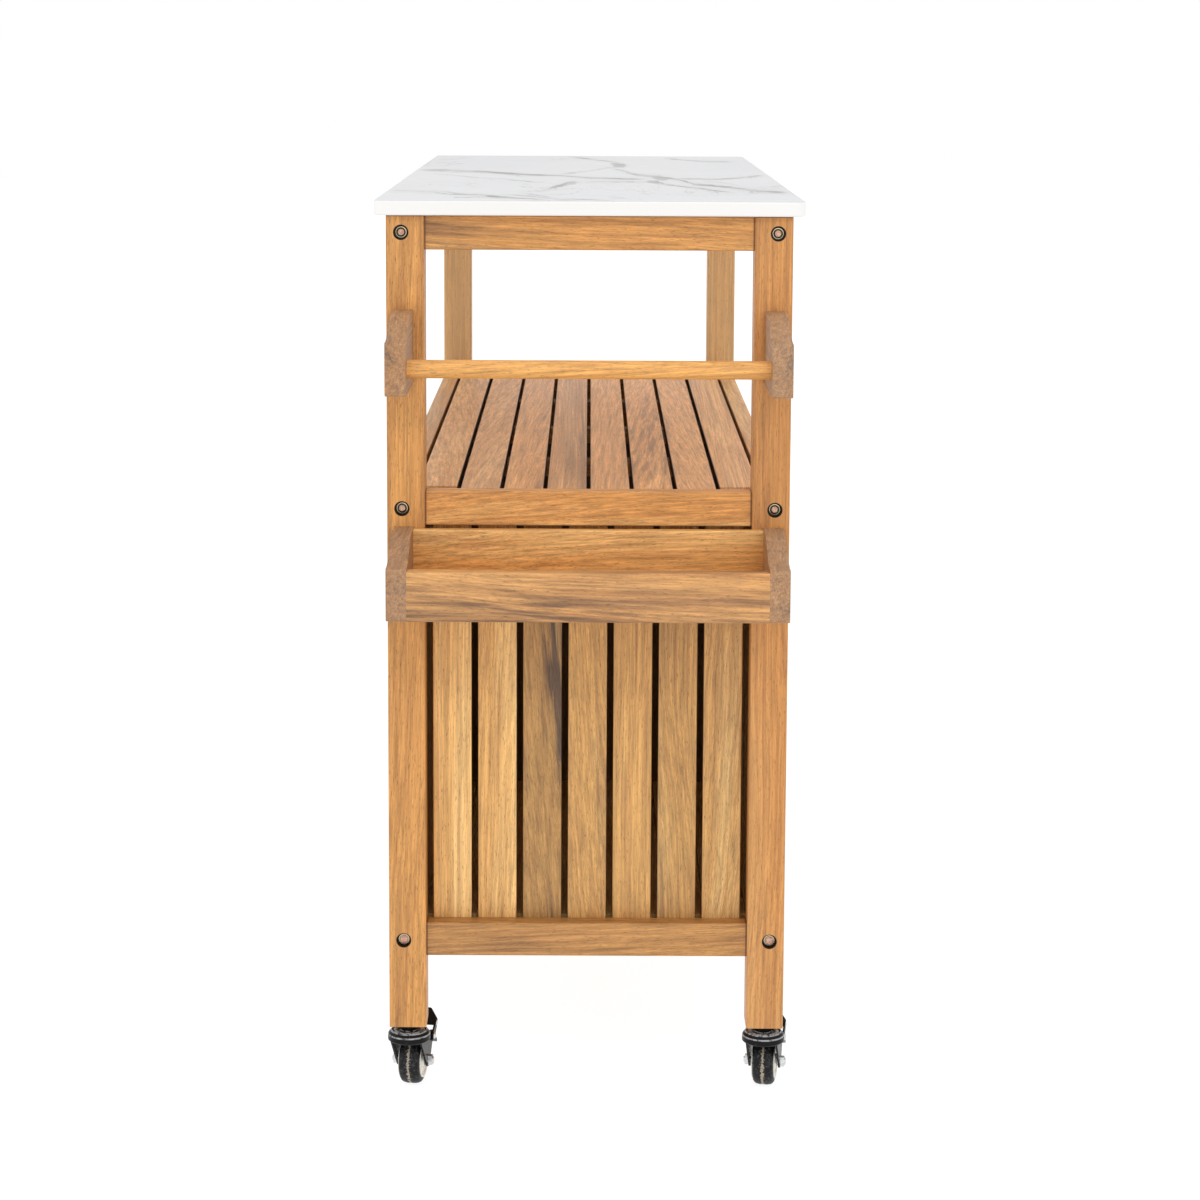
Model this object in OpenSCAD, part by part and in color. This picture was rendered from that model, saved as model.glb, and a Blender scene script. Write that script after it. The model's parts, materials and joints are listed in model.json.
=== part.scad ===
// Kitchen cart on four casters: slab worktop, open slatted shelf, slatted cabinet with two doors,
// and on its right end a towel bar and a bottle rack. Millimetres, +Z up, the doors face -Y.

/* [Worktop] */
// Length of the worktop slab
top_len = 1200; // [900:10:1600]
// Depth of the worktop slab
top_depth = 430; // [400:5:600]
// Thickness of the worktop slab
top_thick = 15; // [10:1:40]
// Overhang of the slab past the legs, all round
top_overhang = 12; // [4:1:30]
// Radius of the slab's upright corners
top_corner_r = 12; // [4:1:30]
// Rounding of the slab's upper and lower edges
top_edge_r = 1.5; // [0.5:0.5:4]

/* [Frame] */
// Height of the worktop's upper face above the floor
cart_h = 925; // [850:5:1000]
// Side of the square legs
leg_w = 38; // [36:1:60]
// Height of the rails between the legs
rail_h = 35; // [30:1:50]
// Thickness of the rails
rail_t = 20; // [18:1:24]
// Setback of the rails' outer faces from the legs' outer faces
rail_inset = 5; // [4:0.5:8]
// Height of the open shelf's upper face
shelf_z = 631.5; // [560:0.5:700]
// Height of the cabinet floor's upper face
base_z = 182; // [160:1:240]
// Rounding along the edges of the wooden pieces
wood_edge_r = 1.5; // [0.5:0.5:3]

/* [Slats and battens] */
// Width of a slat
slat_w = 40; // [25:1:60]
// Thickness of a slat
slat_t = 12; // [8:1:15]
// Smallest gap between the slats one stands things on
shelf_gap = 4; // [2:1:12]
// Gap between the boards of the cabinet floor, which are laid tight
floor_gap = 0.5; // [0.3:0.1:3]
// Smallest gap between the upright slats of the cabinet walls
panel_gap = 6; // [3:1:12]
// Width of a cross batten
batten_w = 30; // [20:1:50]
// Height of a cross batten
batten_h = 18; // [12:1:20]
// Number of cross battens under the shelf and under the cabinet floor
batten_count = 5; // [3:1:9]
// Number of cross battens under the worktop
top_batten_count = 4; // [2:1:8]
// Thickness of the partition in the middle of the cabinet
partition_t = 12; // [10:1:18]
// Depth of the groove in the cabinet floor that the partition stands in
groove_depth = 3; // [1:0.5:4]

/* [Frame bolts] */
// Diameter of the frame bolts
bolt_d = 6; // [5:0.5:8]
// Diameter of a bolt's head
bolt_head_d = 12; // [10:0.5:13.5]
// Height of a bolt's head
bolt_head_h = 4; // [3:0.5:6]
// Width across the flats of a bolt's hexagon socket
bolt_socket_af = 5; // [3:0.5:6]
// Diameter of the counterbore that a bolt's head lies in
counterbore_d = 15; // [14:0.5:20]
// Depth of that counterbore
counterbore_depth = 8; // [6:0.5:14]
// Diameter of the barrel nuts
barrel_d = 10; // [9:0.5:14]
// Distance from a rail's end to the middle of its barrel nut
barrel_from_end = 32; // [20:1:50]

/* [Brackets] */
// Thickness of the towel bar's and the rack's end brackets
bracket_t = 20; // [14:1:24]
// Reach of a bracket out from the leg
bracket_reach = 125; // [100:1:180]
// Height of a bracket against the leg
bracket_h = 73; // [65:1:100]
// Height of a bracket's nose, at its outer end
nose_h = 52; // [45:1:60]
// Length of the flat on a bracket's top, at the leg
bracket_flat = 42; // [25:1:60]
// Length of the flat on a bracket's nose
nose_flat = 12; // [6:1:20]
// Radius of the nose's corners
nose_r = 3.5; // [1:0.5:6]
// Setback of a bracket's outer side from the leg's outer face
bracket_inset = 7; // [3:1:9]
// Diameter of the screws that hold the brackets
screw_d = 4.5; // [3.5:0.5:6]
// Depth of those screws in a bracket
screw_bite = 22; // [15:1:40]

/* [Towel bar] */
// Distance from the top of the leg down to the towel bar's brackets
towel_drop = 94.5; // [60:0.5:150]
// Diameter of the towel bar
bar_d = 18; // [12:1:25]
// Distance of the towel bar's axis from the leg's face
bar_out = 96; // [60:1:105]
// Height of the towel bar's axis above its brackets' lower edge
bar_up = 24; // [16:1:32]
// Depth of the bar's blind sockets in the brackets
bar_socket = 11; // [6:1:13]

/* [Bottle rack] */
// Gap between the shelf rail and the top of the rack's end brackets
rack_drop = 0.5; // [0:0.5:40]
// Thickness of the rack's back board
rack_back_t = 12; // [8:1:18]
// Thickness of the rack's front board
rack_front_t = 18; // [10:1:24]
// Height of the rack's front board
rack_front_h = 49; // [35:1:52]
// Distance from the top of the end brackets down to the back board's top
rack_back_drop = 1.5; // [0:0.5:20]
// Thickness of the rack's floor
rack_floor_t = 12; // [8:1:18]
// Height of the floor's underside above the boards' lower edges
rack_floor_up = 4; // [0:1:10]

/* [Doors] */
// Gap around each door
door_gap = 3; // [2.5:0.5:5]
// Width of the doors' stiles and rails
stile_w = 35; // [30:1:60]
// Setback of the door slats from the door's edges
door_slat_inset = 8; // [4:1:15]
// Diameter of a door knob
knob_d = 32; // [24:1:40]
// Reach of a door knob from the door's face
knob_reach = 26; // [20:1:35]
// Distance from the door's top edge down to its knob
knob_drop = 120; // [60:5:200]
// Diameter of a knob's tenon
knob_tenon_d = 9; // [6:1:12]
// Depth of the tenon in the stile
knob_tenon_l = 14; // [8:1:16]

/* [Door hinges] */
// Height of a hinge
hinge_h = 50; // [30:5:80]
// Thickness of a hinge leaf
leaf_t = 1.2; // [0.8:0.1:1.2]
// Diameter of the hinge pin
hinge_pin_d = 2.2; // [1.6:0.1:2.4]
// Number of knuckles in a hinge, an odd number
knuckle_count = 5; // [3:2:7]
// Distance from the door's top and bottom edges to its hinges
hinge_from_edge = 45; // [20:5:90]
// Width of a magnetic catch
catch_w = 22; // [16:1:30]
// Height of a magnetic catch
catch_h = 28; // [22:1:40]
// Depth of a magnetic catch
catch_depth = 20; // [12:1:30]

/* [Casters] */
// Height of a caster under the leg
caster_h = 72; // [70:1:90]
// Diameter of the wheels
wheel_d = 50; // [40:1:51]
// Width of the tyre's tread
tyre_w = 22; // [18:0.5:24]
// Width of the wheel's hub
hub_w = 26; // [25:0.5:28]
// Diameter of the hub under the tyre
hub_d = 37; // [30:0.5:40]
// Distance that the wheel trails behind the swivel axis
trail = 18; // [14:1:20]
// Turn of the casters at rest, in degrees
caster_turn = 10; // [0:1:45]
// Diameter of the axle bolt
axle_d = 6; // [5:0.5:8]
// Width across the flats of the axle's head and nut
axle_nut_af = 10; // [9:0.5:13]
// Clear width between the fork's cheeks
fork_gap = 29; // [29:0.5:32]
// Thickness of the pressed steel of fork and pedal
steel_t = 2; // [1.5:0.1:2.5]
// Diameter of the fork's crown, which holds the ball races
crown_d = 44; // [42:1:50]
// Height of the crown
crown_h = 11; // [9:0.5:12]
// Diameter of the stem
stem_d = 10; // [8:0.5:12]
// Length of the stem inside the leg
stem_l = 30; // [20:1:45]
// Wall of the socket sleeve around the stem
sleeve_t = 2; // [1:0.5:3]
// Swing of the brake pedal from free to locked, in degrees
pedal_swing = 15; // [8:1:18]
// Length of the brake pedal from its rivets to its tip
pedal_l = 34; // [28:1:38]
// Width of the brake pedal's foot plate at its tip
pedal_tip_w = 24; // [18:1:30]
// Diameter of the rivets that the pedal swings on
rivet_d = 4; // [3:0.5:5]

/* [Clearances] */
// Radial play of a fastener in its hole
hole_fit = 0.05; // [0.02:0.01:0.1]
// Radial play of a turning joint
running_fit = 0.06; // [0.02:0.01:0.09]
// Gap between neighbours that move past each other
play = 0.3; // [0.2:0.05:0.5]

/* [Hidden] */
$fn = 48;

// Outer half length and half depth of the frame, over the legs
half_len = top_len / 2 - top_overhang;
half_depth = top_depth / 2 - top_overhang;
// Upper end of the legs
frame_top = cart_h - top_thick;
// Inner faces of the legs
leg_in_x = half_len - leg_w;
leg_in_y = half_depth - leg_w;
// Outer and inner faces of the rails at the ends and along the sides
rail_out_x = half_len - rail_inset;
rail_in_x = rail_out_x - rail_t;
rail_out_y = half_depth - rail_inset;
rail_in_y = rail_out_y - rail_t;
// Inner faces of the slats on the end panels and on the back panel
end_slat_in = rail_in_x - slat_t;
back_slat_in = rail_in_y - slat_t;
// Outer ends of the battens and of those slats that run against the legs
batten_end = min(leg_in_x, end_slat_in);
// Undersides of the shelf slats and of the cabinet floor's slats
shelf_under = shelf_z - slat_t;
base_under = base_z - slat_t;
// Bolt lines: one in the middle of each rail
bolt_y = rail_out_y - rail_t / 2;
bolt_levels = [frame_top - rail_h / 2, shelf_z - rail_h / 2, base_z - rail_h / 2];
bolt_bore_d = bolt_d + 2 * play;
bolt_l = leg_w - counterbore_depth + barrel_from_end + barrel_d;
barrel_l = rail_t - 4;

// Brackets: their middle plane, the lower edges of the two pairs, and their screws
bracket_y = half_depth - bracket_inset - bracket_t / 2;
bracket_in_y = bracket_y - bracket_t / 2;
towel_z = frame_top - towel_drop - bracket_h;
rack_z = shelf_z - rail_h - rack_drop - bracket_h;
screw_head_d = 2 * screw_d + 1;
screw_head_h = screw_d / 2;

// Door opening and the two doors in it
door_z = base_z + door_gap;
door_h = shelf_z - rail_h - base_z - 2 * door_gap;
door_w = (2 * leg_in_x - 3 * door_gap) / 2;
free_x = leg_in_x - door_gap - door_w;
knob_z = door_z + door_h - knob_drop;
// The knuckles lie in the corner of door and leg, and stay inside the leg's outer face
knuckle_d = rail_inset - play - 0.1;
hinge_x = leg_in_x - play - knuckle_d / 2;
hinge_y = rail_out_y + play + knuckle_d / 2;
hinge_levels = [door_z + hinge_from_edge, door_z + door_h - hinge_from_edge - hinge_h];
knuckle_h = hinge_h / knuckle_count;

// Caster: heights and the places of its pivots, with the wheel trailing towards -X
wheel_r = wheel_d / 2;
wheel_clear = 3;
crown_z = wheel_d + wheel_clear;
crown_top = crown_z + crown_h;
cheek_y = fork_gap / 2;
cheek_out = cheek_y + steel_t;
pedal_pivot_angle = 54;
pedal_pivot_r = wheel_r + 1;
pedal_x = -trail - pedal_pivot_r * cos(pedal_pivot_angle);
pedal_z = wheel_r + pedal_pivot_r * sin(pedal_pivot_angle);
pedal_in = cheek_out + play;
shoe_angle = 25;
foot_angle = 37 - pedal_swing;
caster_y = half_depth - leg_w / 2;
caster_x = half_len - leg_w / 2;

// The origin is the middle of the whole cart's outline on the floor
reach_x = max(top_len / 2, half_len + bracket_reach);
reach_y = max(top_depth / 2, rail_out_y + knob_reach);
shift_x = (top_len / 2 - reach_x) / 2;
shift_y = (reach_y - top_depth / 2) / 2;

// Number of slats that a span takes with at least the given gap, and the even gap that results
function slat_count(span, gap) = floor((span - gap) / (slat_w + gap) + 0.001);
function slat_gap(span, gap) =
    (span - slat_count(span, gap) * slat_w) / (slat_count(span, gap) + 1);
// Levels of the two screws in each bracket whose lower edge is at z
function screw_levels(z) = [z + bracket_h / 4, z + bracket_h * 3 / 4];
// Places of n pieces of width w spread evenly over a span that starts at lo, first and last at its ends
function spread(lo, span, w, n) = [for (i = [0 : n - 1]) lo + i * (span - w) / (n - 1)];

// Shared shapes

module placed() {
    translate([shift_x, shift_y, 0])
        children();
}

// Rectangle with rounded corners, centred
module eased_outline(a, b, r) {
    polygon([for (k = [0 : 3]) for (t = [0 : 30 : 90])
        [sign(cos(45 + 90 * k)) * (a / 2 - r) + r * cos(90 * k + t),
         sign(sin(45 + 90 * k)) * (b / 2 - r) + r * sin(90 * k + t)]]);
}

// Boards with eased long edges, from their lowest corner, with the grain along X, Y or Z
module board_x(lo, size) {
    translate([lo.x, lo.y + size.y / 2, lo.z + size.z / 2])
        rotate([90, 0, 90])
            linear_extrude(size.x) eased_outline(size.y, size.z, wood_edge_r);
}

module board_y(lo, size) {
    translate([lo.x + size.x / 2, lo.y + size.y, lo.z + size.z / 2])
        rotate([90, 0, 0])
            linear_extrude(size.y) eased_outline(size.x, size.z, wood_edge_r);
}

module board_z(lo, size) {
    translate([lo.x + size.x / 2, lo.y + size.y / 2, lo.z])
        linear_extrude(size.z) eased_outline(size.x, size.y, wood_edge_r);
}

// Mirrors its children to the left end, or to the front, when the sign is negative
module at_end(sx) {
    mirror([sx < 0 ? 1 : 0, 0, 0])
        children();
}

module at_side(sy) {
    mirror([0, sy < 0 ? 1 : 0, 0])
        children();
}

// Cylinder along -X from its outer end
module inward(d, l) {
    rotate([0, -90, 0])
        cylinder(d = d, h = l);
}

// Worktop and frame

module countertop() {
    color("whitesmoke")
    hull()
        for (t = [0 : 30 : 90])
            translate([0, 0, frame_top + top_edge_r * (1 - sin(t))])
                linear_extrude(top_thick - 2 * top_edge_r * (1 - sin(t)))
                    slab_outline(top_edge_r * (1 - cos(t)));
}

module slab_outline(inset) {
    r = top_corner_r - inset;
    polygon([for (k = [0 : 3]) for (t = [0 : 15 : 90])
        [sign(cos(45 + 90 * k)) * (top_len / 2 - top_corner_r) + r * cos(90 * k + t),
         sign(sin(45 + 90 * k)) * (top_depth / 2 - top_corner_r) + r * sin(90 * k + t)]]);
}

// Leg for the right end at the back; the others are its mirror images
module leg(bracket_holes) {
    difference() {
        board_z([leg_in_x, leg_in_y, caster_h], [leg_w, leg_w, frame_top - caster_h]);
        for (z = bolt_levels)
            translate([half_len, bolt_y, z])
                bolt_bore();
        if (bracket_holes)
            for (z = concat(screw_levels(towel_z), screw_levels(rack_z)))
                translate([leg_in_x, bracket_y, z])
                    screw_bore(leg_w + 1);
        translate([caster_x, caster_y, caster_h - 1])
            cylinder(r = stem_d / 2 + sleeve_t + 2 * hole_fit, h = stem_l + 3);
    }
}

module bolt_bore() {
    translate([1, 0, 0])
        inward(counterbore_d, counterbore_depth + 1);
    inward(bolt_bore_d, leg_w + 1);
}

module screw_bore(l) {
    head_d = screw_head_d + 2 * hole_fit;
    rotate([0, 90, 0]) {
        cylinder(d = screw_d + 2 * hole_fit, h = l);
        cylinder(d1 = head_d, d2 = screw_d + 2 * hole_fit, h = screw_head_h);
        translate([0, 0, -1])
            cylinder(d = head_d, h = 1);
    }
}

module leg_front_right() {
    color("peru") at_side(-1) leg(true);
}

module leg_back_right() {
    color("peru") leg(true);
}

module leg_front_left() {
    color("peru") at_end(-1) at_side(-1) leg(false);
}

module leg_back_left() {
    color("peru") at_end(-1) leg(false);
}

module end_rails(top) {
    for (sx = [1, -1])
        at_end(sx)
            board_y([rail_in_x, -leg_in_y, top - rail_h], [rail_t, 2 * leg_in_y, rail_h]);
}

module side_rails(top) {
    for (sy = [1, -1])
        at_side(sy)
            difference() {
                board_x([-leg_in_x, rail_in_y, top - rail_h], [2 * leg_in_x, rail_t, rail_h]);
                for (sx = [1, -1])
                    at_end(sx)
                        translate([leg_in_x, bolt_y, top - rail_h / 2])
                            rail_end_bores();
            }
}

module rail_end_bores() {
    translate([1, 0, 0])
        inward(bolt_bore_d, barrel_from_end + barrel_d + 3);
    translate([-barrel_from_end, barrel_l / 2, 0])
        rotate([90, 0, 0])
            cylinder(d = barrel_d + 2 * hole_fit, h = rail_t);
}

module top_end_rails() {
    color("peru") end_rails(frame_top);
}

module shelf_end_rails() {
    color("peru") end_rails(shelf_z);
}

module base_end_rails() {
    color("peru") end_rails(base_z);
}

module top_side_rails() {
    color("peru") side_rails(frame_top);
}

module shelf_side_rails() {
    color("peru") side_rails(shelf_z);
}

module base_side_rails() {
    color("peru") side_rails(base_z);
}

// Battens under worktop, shelf and cabinet floor; the lower ones stop at the back panel's slats
module cross_battens() {
    color("burlywood") {
        for (x = spread(-batten_end, 2 * batten_end, batten_w, top_batten_count))
            board_y([x, -rail_in_y, frame_top - batten_h],
                    [batten_w, 2 * rail_in_y, batten_h]);
        for (x = spread(-batten_end, 2 * batten_end, batten_w, batten_count))
            for (top = [shelf_under, base_under])
                board_y([x, -rail_in_y, top - batten_h],
                        [batten_w, rail_in_y + back_slat_in, batten_h]);
    }
}

// Boards of width w side by side from -rail_in_y; one that meets a leg stops there
module lying_boards(count, w, gap, half_l, under) {
    for (i = [0 : count - 1]) {
        y = -rail_in_y + gap + i * (w + gap);
        half = max(-y, y + w) > leg_in_y ? batten_end : half_l;
        board_x([-half, y, under], [2 * half, w, slat_t]);
    }
}

module shelf_slats() {
    span = 2 * rail_in_y;
    color("sandybrown")
    lying_boards(slat_count(span, shelf_gap), slat_w, slat_gap(span, shelf_gap), rail_in_x, shelf_under);
}

// The cabinet floor's boards fill its depth, and a groove across them holds the partition
module base_slats() {
    span = rail_in_y + back_slat_in;
    count = slat_count(span, floor_gap);
    color("sandybrown")
    difference() {
        lying_boards(count, (span - (count + 1) * floor_gap) / count, floor_gap, end_slat_in, base_under);
        translate([-partition_t / 2 - hole_fit, -rail_in_y, base_z - groove_depth])
            cube([partition_t + 2 * hole_fit, span, groove_depth + 1]);
    }
}

module end_panel_slats() {
    span = 2 * leg_in_y;
    gap = slat_gap(span, panel_gap);
    color("goldenrod")
    for (sx = [1, -1])
        at_end(sx)
            for (i = [0 : slat_count(span, panel_gap) - 1])
                board_z([end_slat_in, -leg_in_y + gap + i * (slat_w + gap), base_z - rail_h],
                        [slat_t, slat_w, shelf_under - base_z + rail_h]);
}

module back_panel_slats() {
    span = 2 * leg_in_x;
    gap = slat_gap(span, panel_gap);
    color("goldenrod")
    for (i = [0 : slat_count(span, panel_gap) - 1])
        board_z([-leg_in_x + gap + i * (slat_w + gap), back_slat_in, base_z - rail_h],
                [slat_w, slat_t, shelf_under - base_z + rail_h]);
}

// Board across the middle of the cabinet, from its floor's groove up to the shelf's middle batten
module cabinet_partition() {
    front_y = -rail_in_y + slat_t + play;
    foot_z = base_z - groove_depth;
    color("peru")
    board_z([-partition_t / 2, front_y, foot_z],
            [partition_t, back_slat_in - front_y, shelf_under - batten_h - foot_z]);
}

// Fasteners of the frame

module frame_bolts() {
    color("darkkhaki")
    for (sx = [1, -1], sy = [1, -1], z = bolt_levels)
        at_end(sx)
            translate([half_len - counterbore_depth + bolt_head_h, sy * bolt_y, z])
                rotate([0, -90, 0])
                    frame_bolt();
}

module frame_bolt() {
    difference() {
        union() {
            cylinder(d = bolt_head_d, h = bolt_head_h);
            cylinder(d = bolt_d, h = bolt_head_h + bolt_l);
        }
        translate([0, 0, -1])
            cylinder(d = bolt_socket_af / cos(30), h = bolt_head_h * 0.7 + 1, $fn = 6);
    }
}

module barrel_nuts() {
    color("silver")
    for (sx = [1, -1], sy = [1, -1], z = bolt_levels)
        at_end(sx)
            translate([leg_in_x - barrel_from_end, sy * bolt_y, z])
                difference() {
                    rotate([90, 0, 0])
                        cylinder(d = barrel_d, h = barrel_l, center = true);
                    translate([barrel_d, 0, 0])
                        inward(bolt_d + 2 * hole_fit, 2 * barrel_d);
                }
}

module bracket_screws() {
    color("silver")
    for (sy = [1, -1], z = concat(screw_levels(towel_z), screw_levels(rack_z)))
        translate([leg_in_x, sy * bracket_y, z])
            rotate([0, 90, 0]) {
                cylinder(d1 = screw_head_d, d2 = screw_d, h = screw_head_h);
                cylinder(d = screw_d, h = leg_w + screw_bite);
            }
}

// Towel bar and bottle rack

// Side view of a bracket, from the leg out to its nose, with a long S-curve along the top
module bracket_profile() {
    curve_l = bracket_reach - bracket_flat - nose_flat;
    curve_h = bracket_h - nose_h;
    polygon(concat(
        [[0, 0]],
        [for (t = [-90 : 30 : 0])
            [bracket_reach - nose_r + nose_r * cos(t), nose_r + nose_r * sin(t)]],
        [for (t = [0 : 30 : 90])
            [bracket_reach - nose_r + nose_r * cos(t), nose_h - nose_r + nose_r * sin(t)]],
        [for (i = [0 : 12])
            [bracket_reach - nose_flat - i * curve_l / 12,
             nose_h + curve_h * (1 - cos(180 * i / 12)) / 2]],
        [[0, bracket_h]]));
}

module bracket(z) {
    difference() {
        translate([half_len, bracket_y + bracket_t / 2, z])
            rotate([90, 0, 0])
                linear_extrude(bracket_t) bracket_profile();
        for (level = screw_levels(z))
            translate([leg_in_x, bracket_y, level])
                rotate([0, 90, 0])
                    cylinder(d = screw_d + 2 * hole_fit, h = leg_w + screw_bite + 0.5);
    }
}

module towel_brackets() {
    color("tan")
    for (sy = [1, -1])
        at_side(sy)
            difference() {
                bracket(towel_z);
                translate([half_len + bar_out, bracket_in_y + bar_socket, towel_z + bar_up])
                    rotate([90, 0, 0])
                        cylinder(d = bar_d + 2 * hole_fit, h = bar_socket + 1);
            }
}

module towel_bar() {
    half = bracket_in_y + bar_socket - play;
    color("goldenrod")
    translate([half_len + bar_out, half, towel_z + bar_up])
        rotate([90, 0, 0])
            cylinder(d = bar_d, h = 2 * half);
}

module rack_ends() {
    color("tan")
    for (sy = [1, -1])
        at_side(sy) bracket(rack_z);
}

module rack_back_board() {
    color("goldenrod")
    board_y([half_len, -bracket_in_y, rack_z],
            [rack_back_t, 2 * bracket_in_y, bracket_h - rack_back_drop]);
}

module rack_front_board() {
    color("rosybrown")
    board_y([half_len + bracket_reach - rack_front_t, -bracket_in_y, rack_z],
            [rack_front_t, 2 * bracket_in_y, rack_front_h]);
}

module rack_floor() {
    color("peru")
    board_y([half_len + rack_back_t, -bracket_in_y, rack_z + rack_floor_up],
            [bracket_reach - rack_back_t - rack_front_t, 2 * bracket_in_y, rack_floor_t]);
}

// Doors; each is drawn as the right one, hinged on the right front leg

module door_stiles() {
    difference() {
        for (x = [free_x, free_x + door_w - stile_w])
            board_z([x, -rail_out_y, door_z], [stile_w, rail_t, door_h]);
        translate([free_x + stile_w / 2, -rail_out_y - 1, knob_z])
            rotate([-90, 0, 0])
                cylinder(d = knob_tenon_d + 2 * hole_fit, h = knob_tenon_l + 1.5);
    }
}

module door_rails() {
    for (z = [door_z, door_z + door_h - stile_w])
        board_x([free_x + stile_w, -rail_out_y, z], [door_w - 2 * stile_w, rail_t, stile_w]);
}

module door_slats() {
    span = door_w - 2 * door_slat_inset;
    count = slat_count(span + 2 * panel_gap, panel_gap);
    gap = (span - count * slat_w) / (count - 1);
    for (i = [0 : count - 1])
        board_z([free_x + door_slat_inset + i * (slat_w + gap), -rail_in_y,
                 door_z + door_slat_inset],
                [slat_w, slat_t, door_h - 2 * door_slat_inset]);
}

// Turned knob: a slim neck that swells into a domed head, on a tenon
module door_knob() {
    neck_r = knob_d * 0.22;
    head_r = knob_d / 2;
    translate([free_x + stile_w / 2, -rail_out_y, knob_z])
        rotate([90, 0, 0]) {
            rotate_extrude()
                polygon(concat(
                    [[0, 0], [neck_r + 2, 0]],
                    [for (t = [0 : 15 : 90])
                        [neck_r + 2 * (1 - sin(t)) + (head_r - neck_r) * pow(sin(t), 6),
                         knob_reach * 0.62 * t / 90]],
                    [for (t = [0 : 15 : 90])
                        [head_r * cos(t), knob_reach * (0.68 + 0.32 * sin(t))]]));
            translate([0, 0, -knob_tenon_l])
                cylinder(d = knob_tenon_d, h = knob_tenon_l + 1);
        }
}

// Every second knuckle, starting with the first or the second, and the leaf that carries them.
// The plate starts clear of the barrel, and only its own knuckles reach across to it.
module hinge_leaf(first, plate_x) {
    barrel_r = knuckle_d / 2;
    depth = hinge_y - rail_in_y - 2;
    translate([plate_x, barrel_r + play, 0])
        cube([leaf_t, depth - barrel_r - play, hinge_h]);
    for (k = [first : 2 : knuckle_count - 1])
        translate([0, 0, k * knuckle_h + play / 2]) {
            cylinder(r = barrel_r, h = knuckle_h - play);
            translate([plate_x, 0, 0])
                cube([leaf_t, barrel_r + 2 * play, knuckle_h - play]);
        }
}

// Places its children at the hinges of the right door, with Y pointing into the cabinet
module at_hinges() {
    for (z = hinge_levels)
        translate([hinge_x, -hinge_y, z])
            children();
}

module door_leaves() {
    at_hinges()
        difference() {
            hinge_leaf(1, leg_in_x - door_gap - hinge_x);
            translate([0, 0, -1])
                cylinder(d = hinge_pin_d + 2 * running_fit, h = hinge_h + 2);
        }
}

// The leg's leaf has the pin riveted into its knuckles, with a small head at each end
module hinge_leg_leaves() {
    color("silver")
    for (sx = [1, -1])
        at_end(sx)
            at_hinges() {
                hinge_leaf(0, leg_in_x - leaf_t - hinge_x);
                cylinder(d = hinge_pin_d, h = hinge_h);
                for (z = [-0.8, hinge_h - play / 2])
                    translate([0, 0, z])
                        cylinder(d = knuckle_d - 1, h = 0.8 + play / 2);
            }
}

module door_catches() {
    color("dimgray")
    for (sx = [1, -1])
        at_end(sx)
            translate([partition_t / 2, -rail_in_y + slat_t + play,
                       shelf_under - batten_h - catch_h])
                cube([catch_w, catch_depth, catch_h]);
}

module door_left_stiles() {
    color("peru") at_end(-1) door_stiles();
}

module door_left_rails() {
    color("peru") at_end(-1) door_rails();
}

module door_left_slats() {
    color("goldenrod") at_end(-1) door_slats();
}

module door_left_knob() {
    color("tan") at_end(-1) door_knob();
}

module door_left_leaves() {
    color("silver") at_end(-1) door_leaves();
}

module door_right_stiles() {
    color("peru") door_stiles();
}

module door_right_rails() {
    color("peru") door_rails();
}

module door_right_slats() {
    color("goldenrod") door_slats();
}

module door_right_knob() {
    color("tan") door_knob();
}

module door_right_leaves() {
    color("silver") door_leaves();
}

// Casters

// Places a caster on its leg as it stands at rest: turned, with its wheel trailing under the cart
module at_caster(sx, sy) {
    translate([sx * caster_x, sy * caster_y, 0])
        rotate([0, 0, (sx < 0 ? 180 : 0) - caster_turn])
            children();
}

module caster_sockets() {
    color("gray")
    for (sx = [1, -1], sy = [1, -1])
        translate([sx * caster_x, sy * caster_y, caster_h])
            difference() {
                cylinder(r = stem_d / 2 + sleeve_t + hole_fit, h = stem_l + 1);
                translate([0, 0, -1])
                    cylinder(r = stem_d / 2 + hole_fit, h = stem_l + 1.5);
            }
}

// Stem with its hexagon, the upper ball race inside the crown, and the riveted end under it
module caster_stems() {
    race_r = crown_d / 2 - 5;
    rivet_r = stem_d / 2;
    color("dimgray")
    for (sx = [1, -1], sy = [1, -1])
        translate([sx * caster_x, sy * caster_y, 0]) {
            rotate_extrude()
                polygon(concat(
                    [[0, crown_z - 2.2], [rivet_r + 2, crown_z - 2.2], [rivet_r + 2.5, crown_z - 1.5],
                     [rivet_r + 2.5, crown_z - play], [rivet_r, crown_z - play],
                     [rivet_r, crown_z + steel_t + play], [race_r, crown_z + steel_t + play]],
                    [for (t = [0 : 22.5 : 90])
                        [race_r - 3 + 3 * cos(t), crown_top - 2.5 + 2.5 * sin(t)]],
                    [[race_r - 6, crown_top - 2], [stem_d * 0.9, crown_top - 2],
                     [stem_d * 0.9, caster_h - 4], [stem_d / 2, caster_h - 4],
                     [stem_d / 2, caster_h + stem_l], [0, caster_h + stem_l]]));
            translate([0, 0, caster_h - 5])
                cylinder(r = stem_d * 0.85, h = 5, $fn = 6);
        }
}

// Half section of the crown: a drum with a sloping shoulder and a lip around the upper race
module crown_section() {
    r = crown_d / 2;
    lip_r = r - 5 + 2 * play;
    polygon([
        [stem_d / 2 + running_fit, crown_z], [r - 1, crown_z], [r, crown_z + 1],
        [r, crown_z + crown_h * 0.55], [r - 0.6, crown_z + crown_h * 0.68],
        [lip_r + 1.2, crown_top - 0.4], [lip_r + 0.4, crown_top], [lip_r, crown_top - 0.5],
        [lip_r, crown_top - 1.8], [r - steel_t, crown_z + crown_h * 0.55],
        [r - steel_t, crown_z + steel_t], [stem_d / 2 + running_fit, crown_z + steel_t]]);
}

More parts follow.
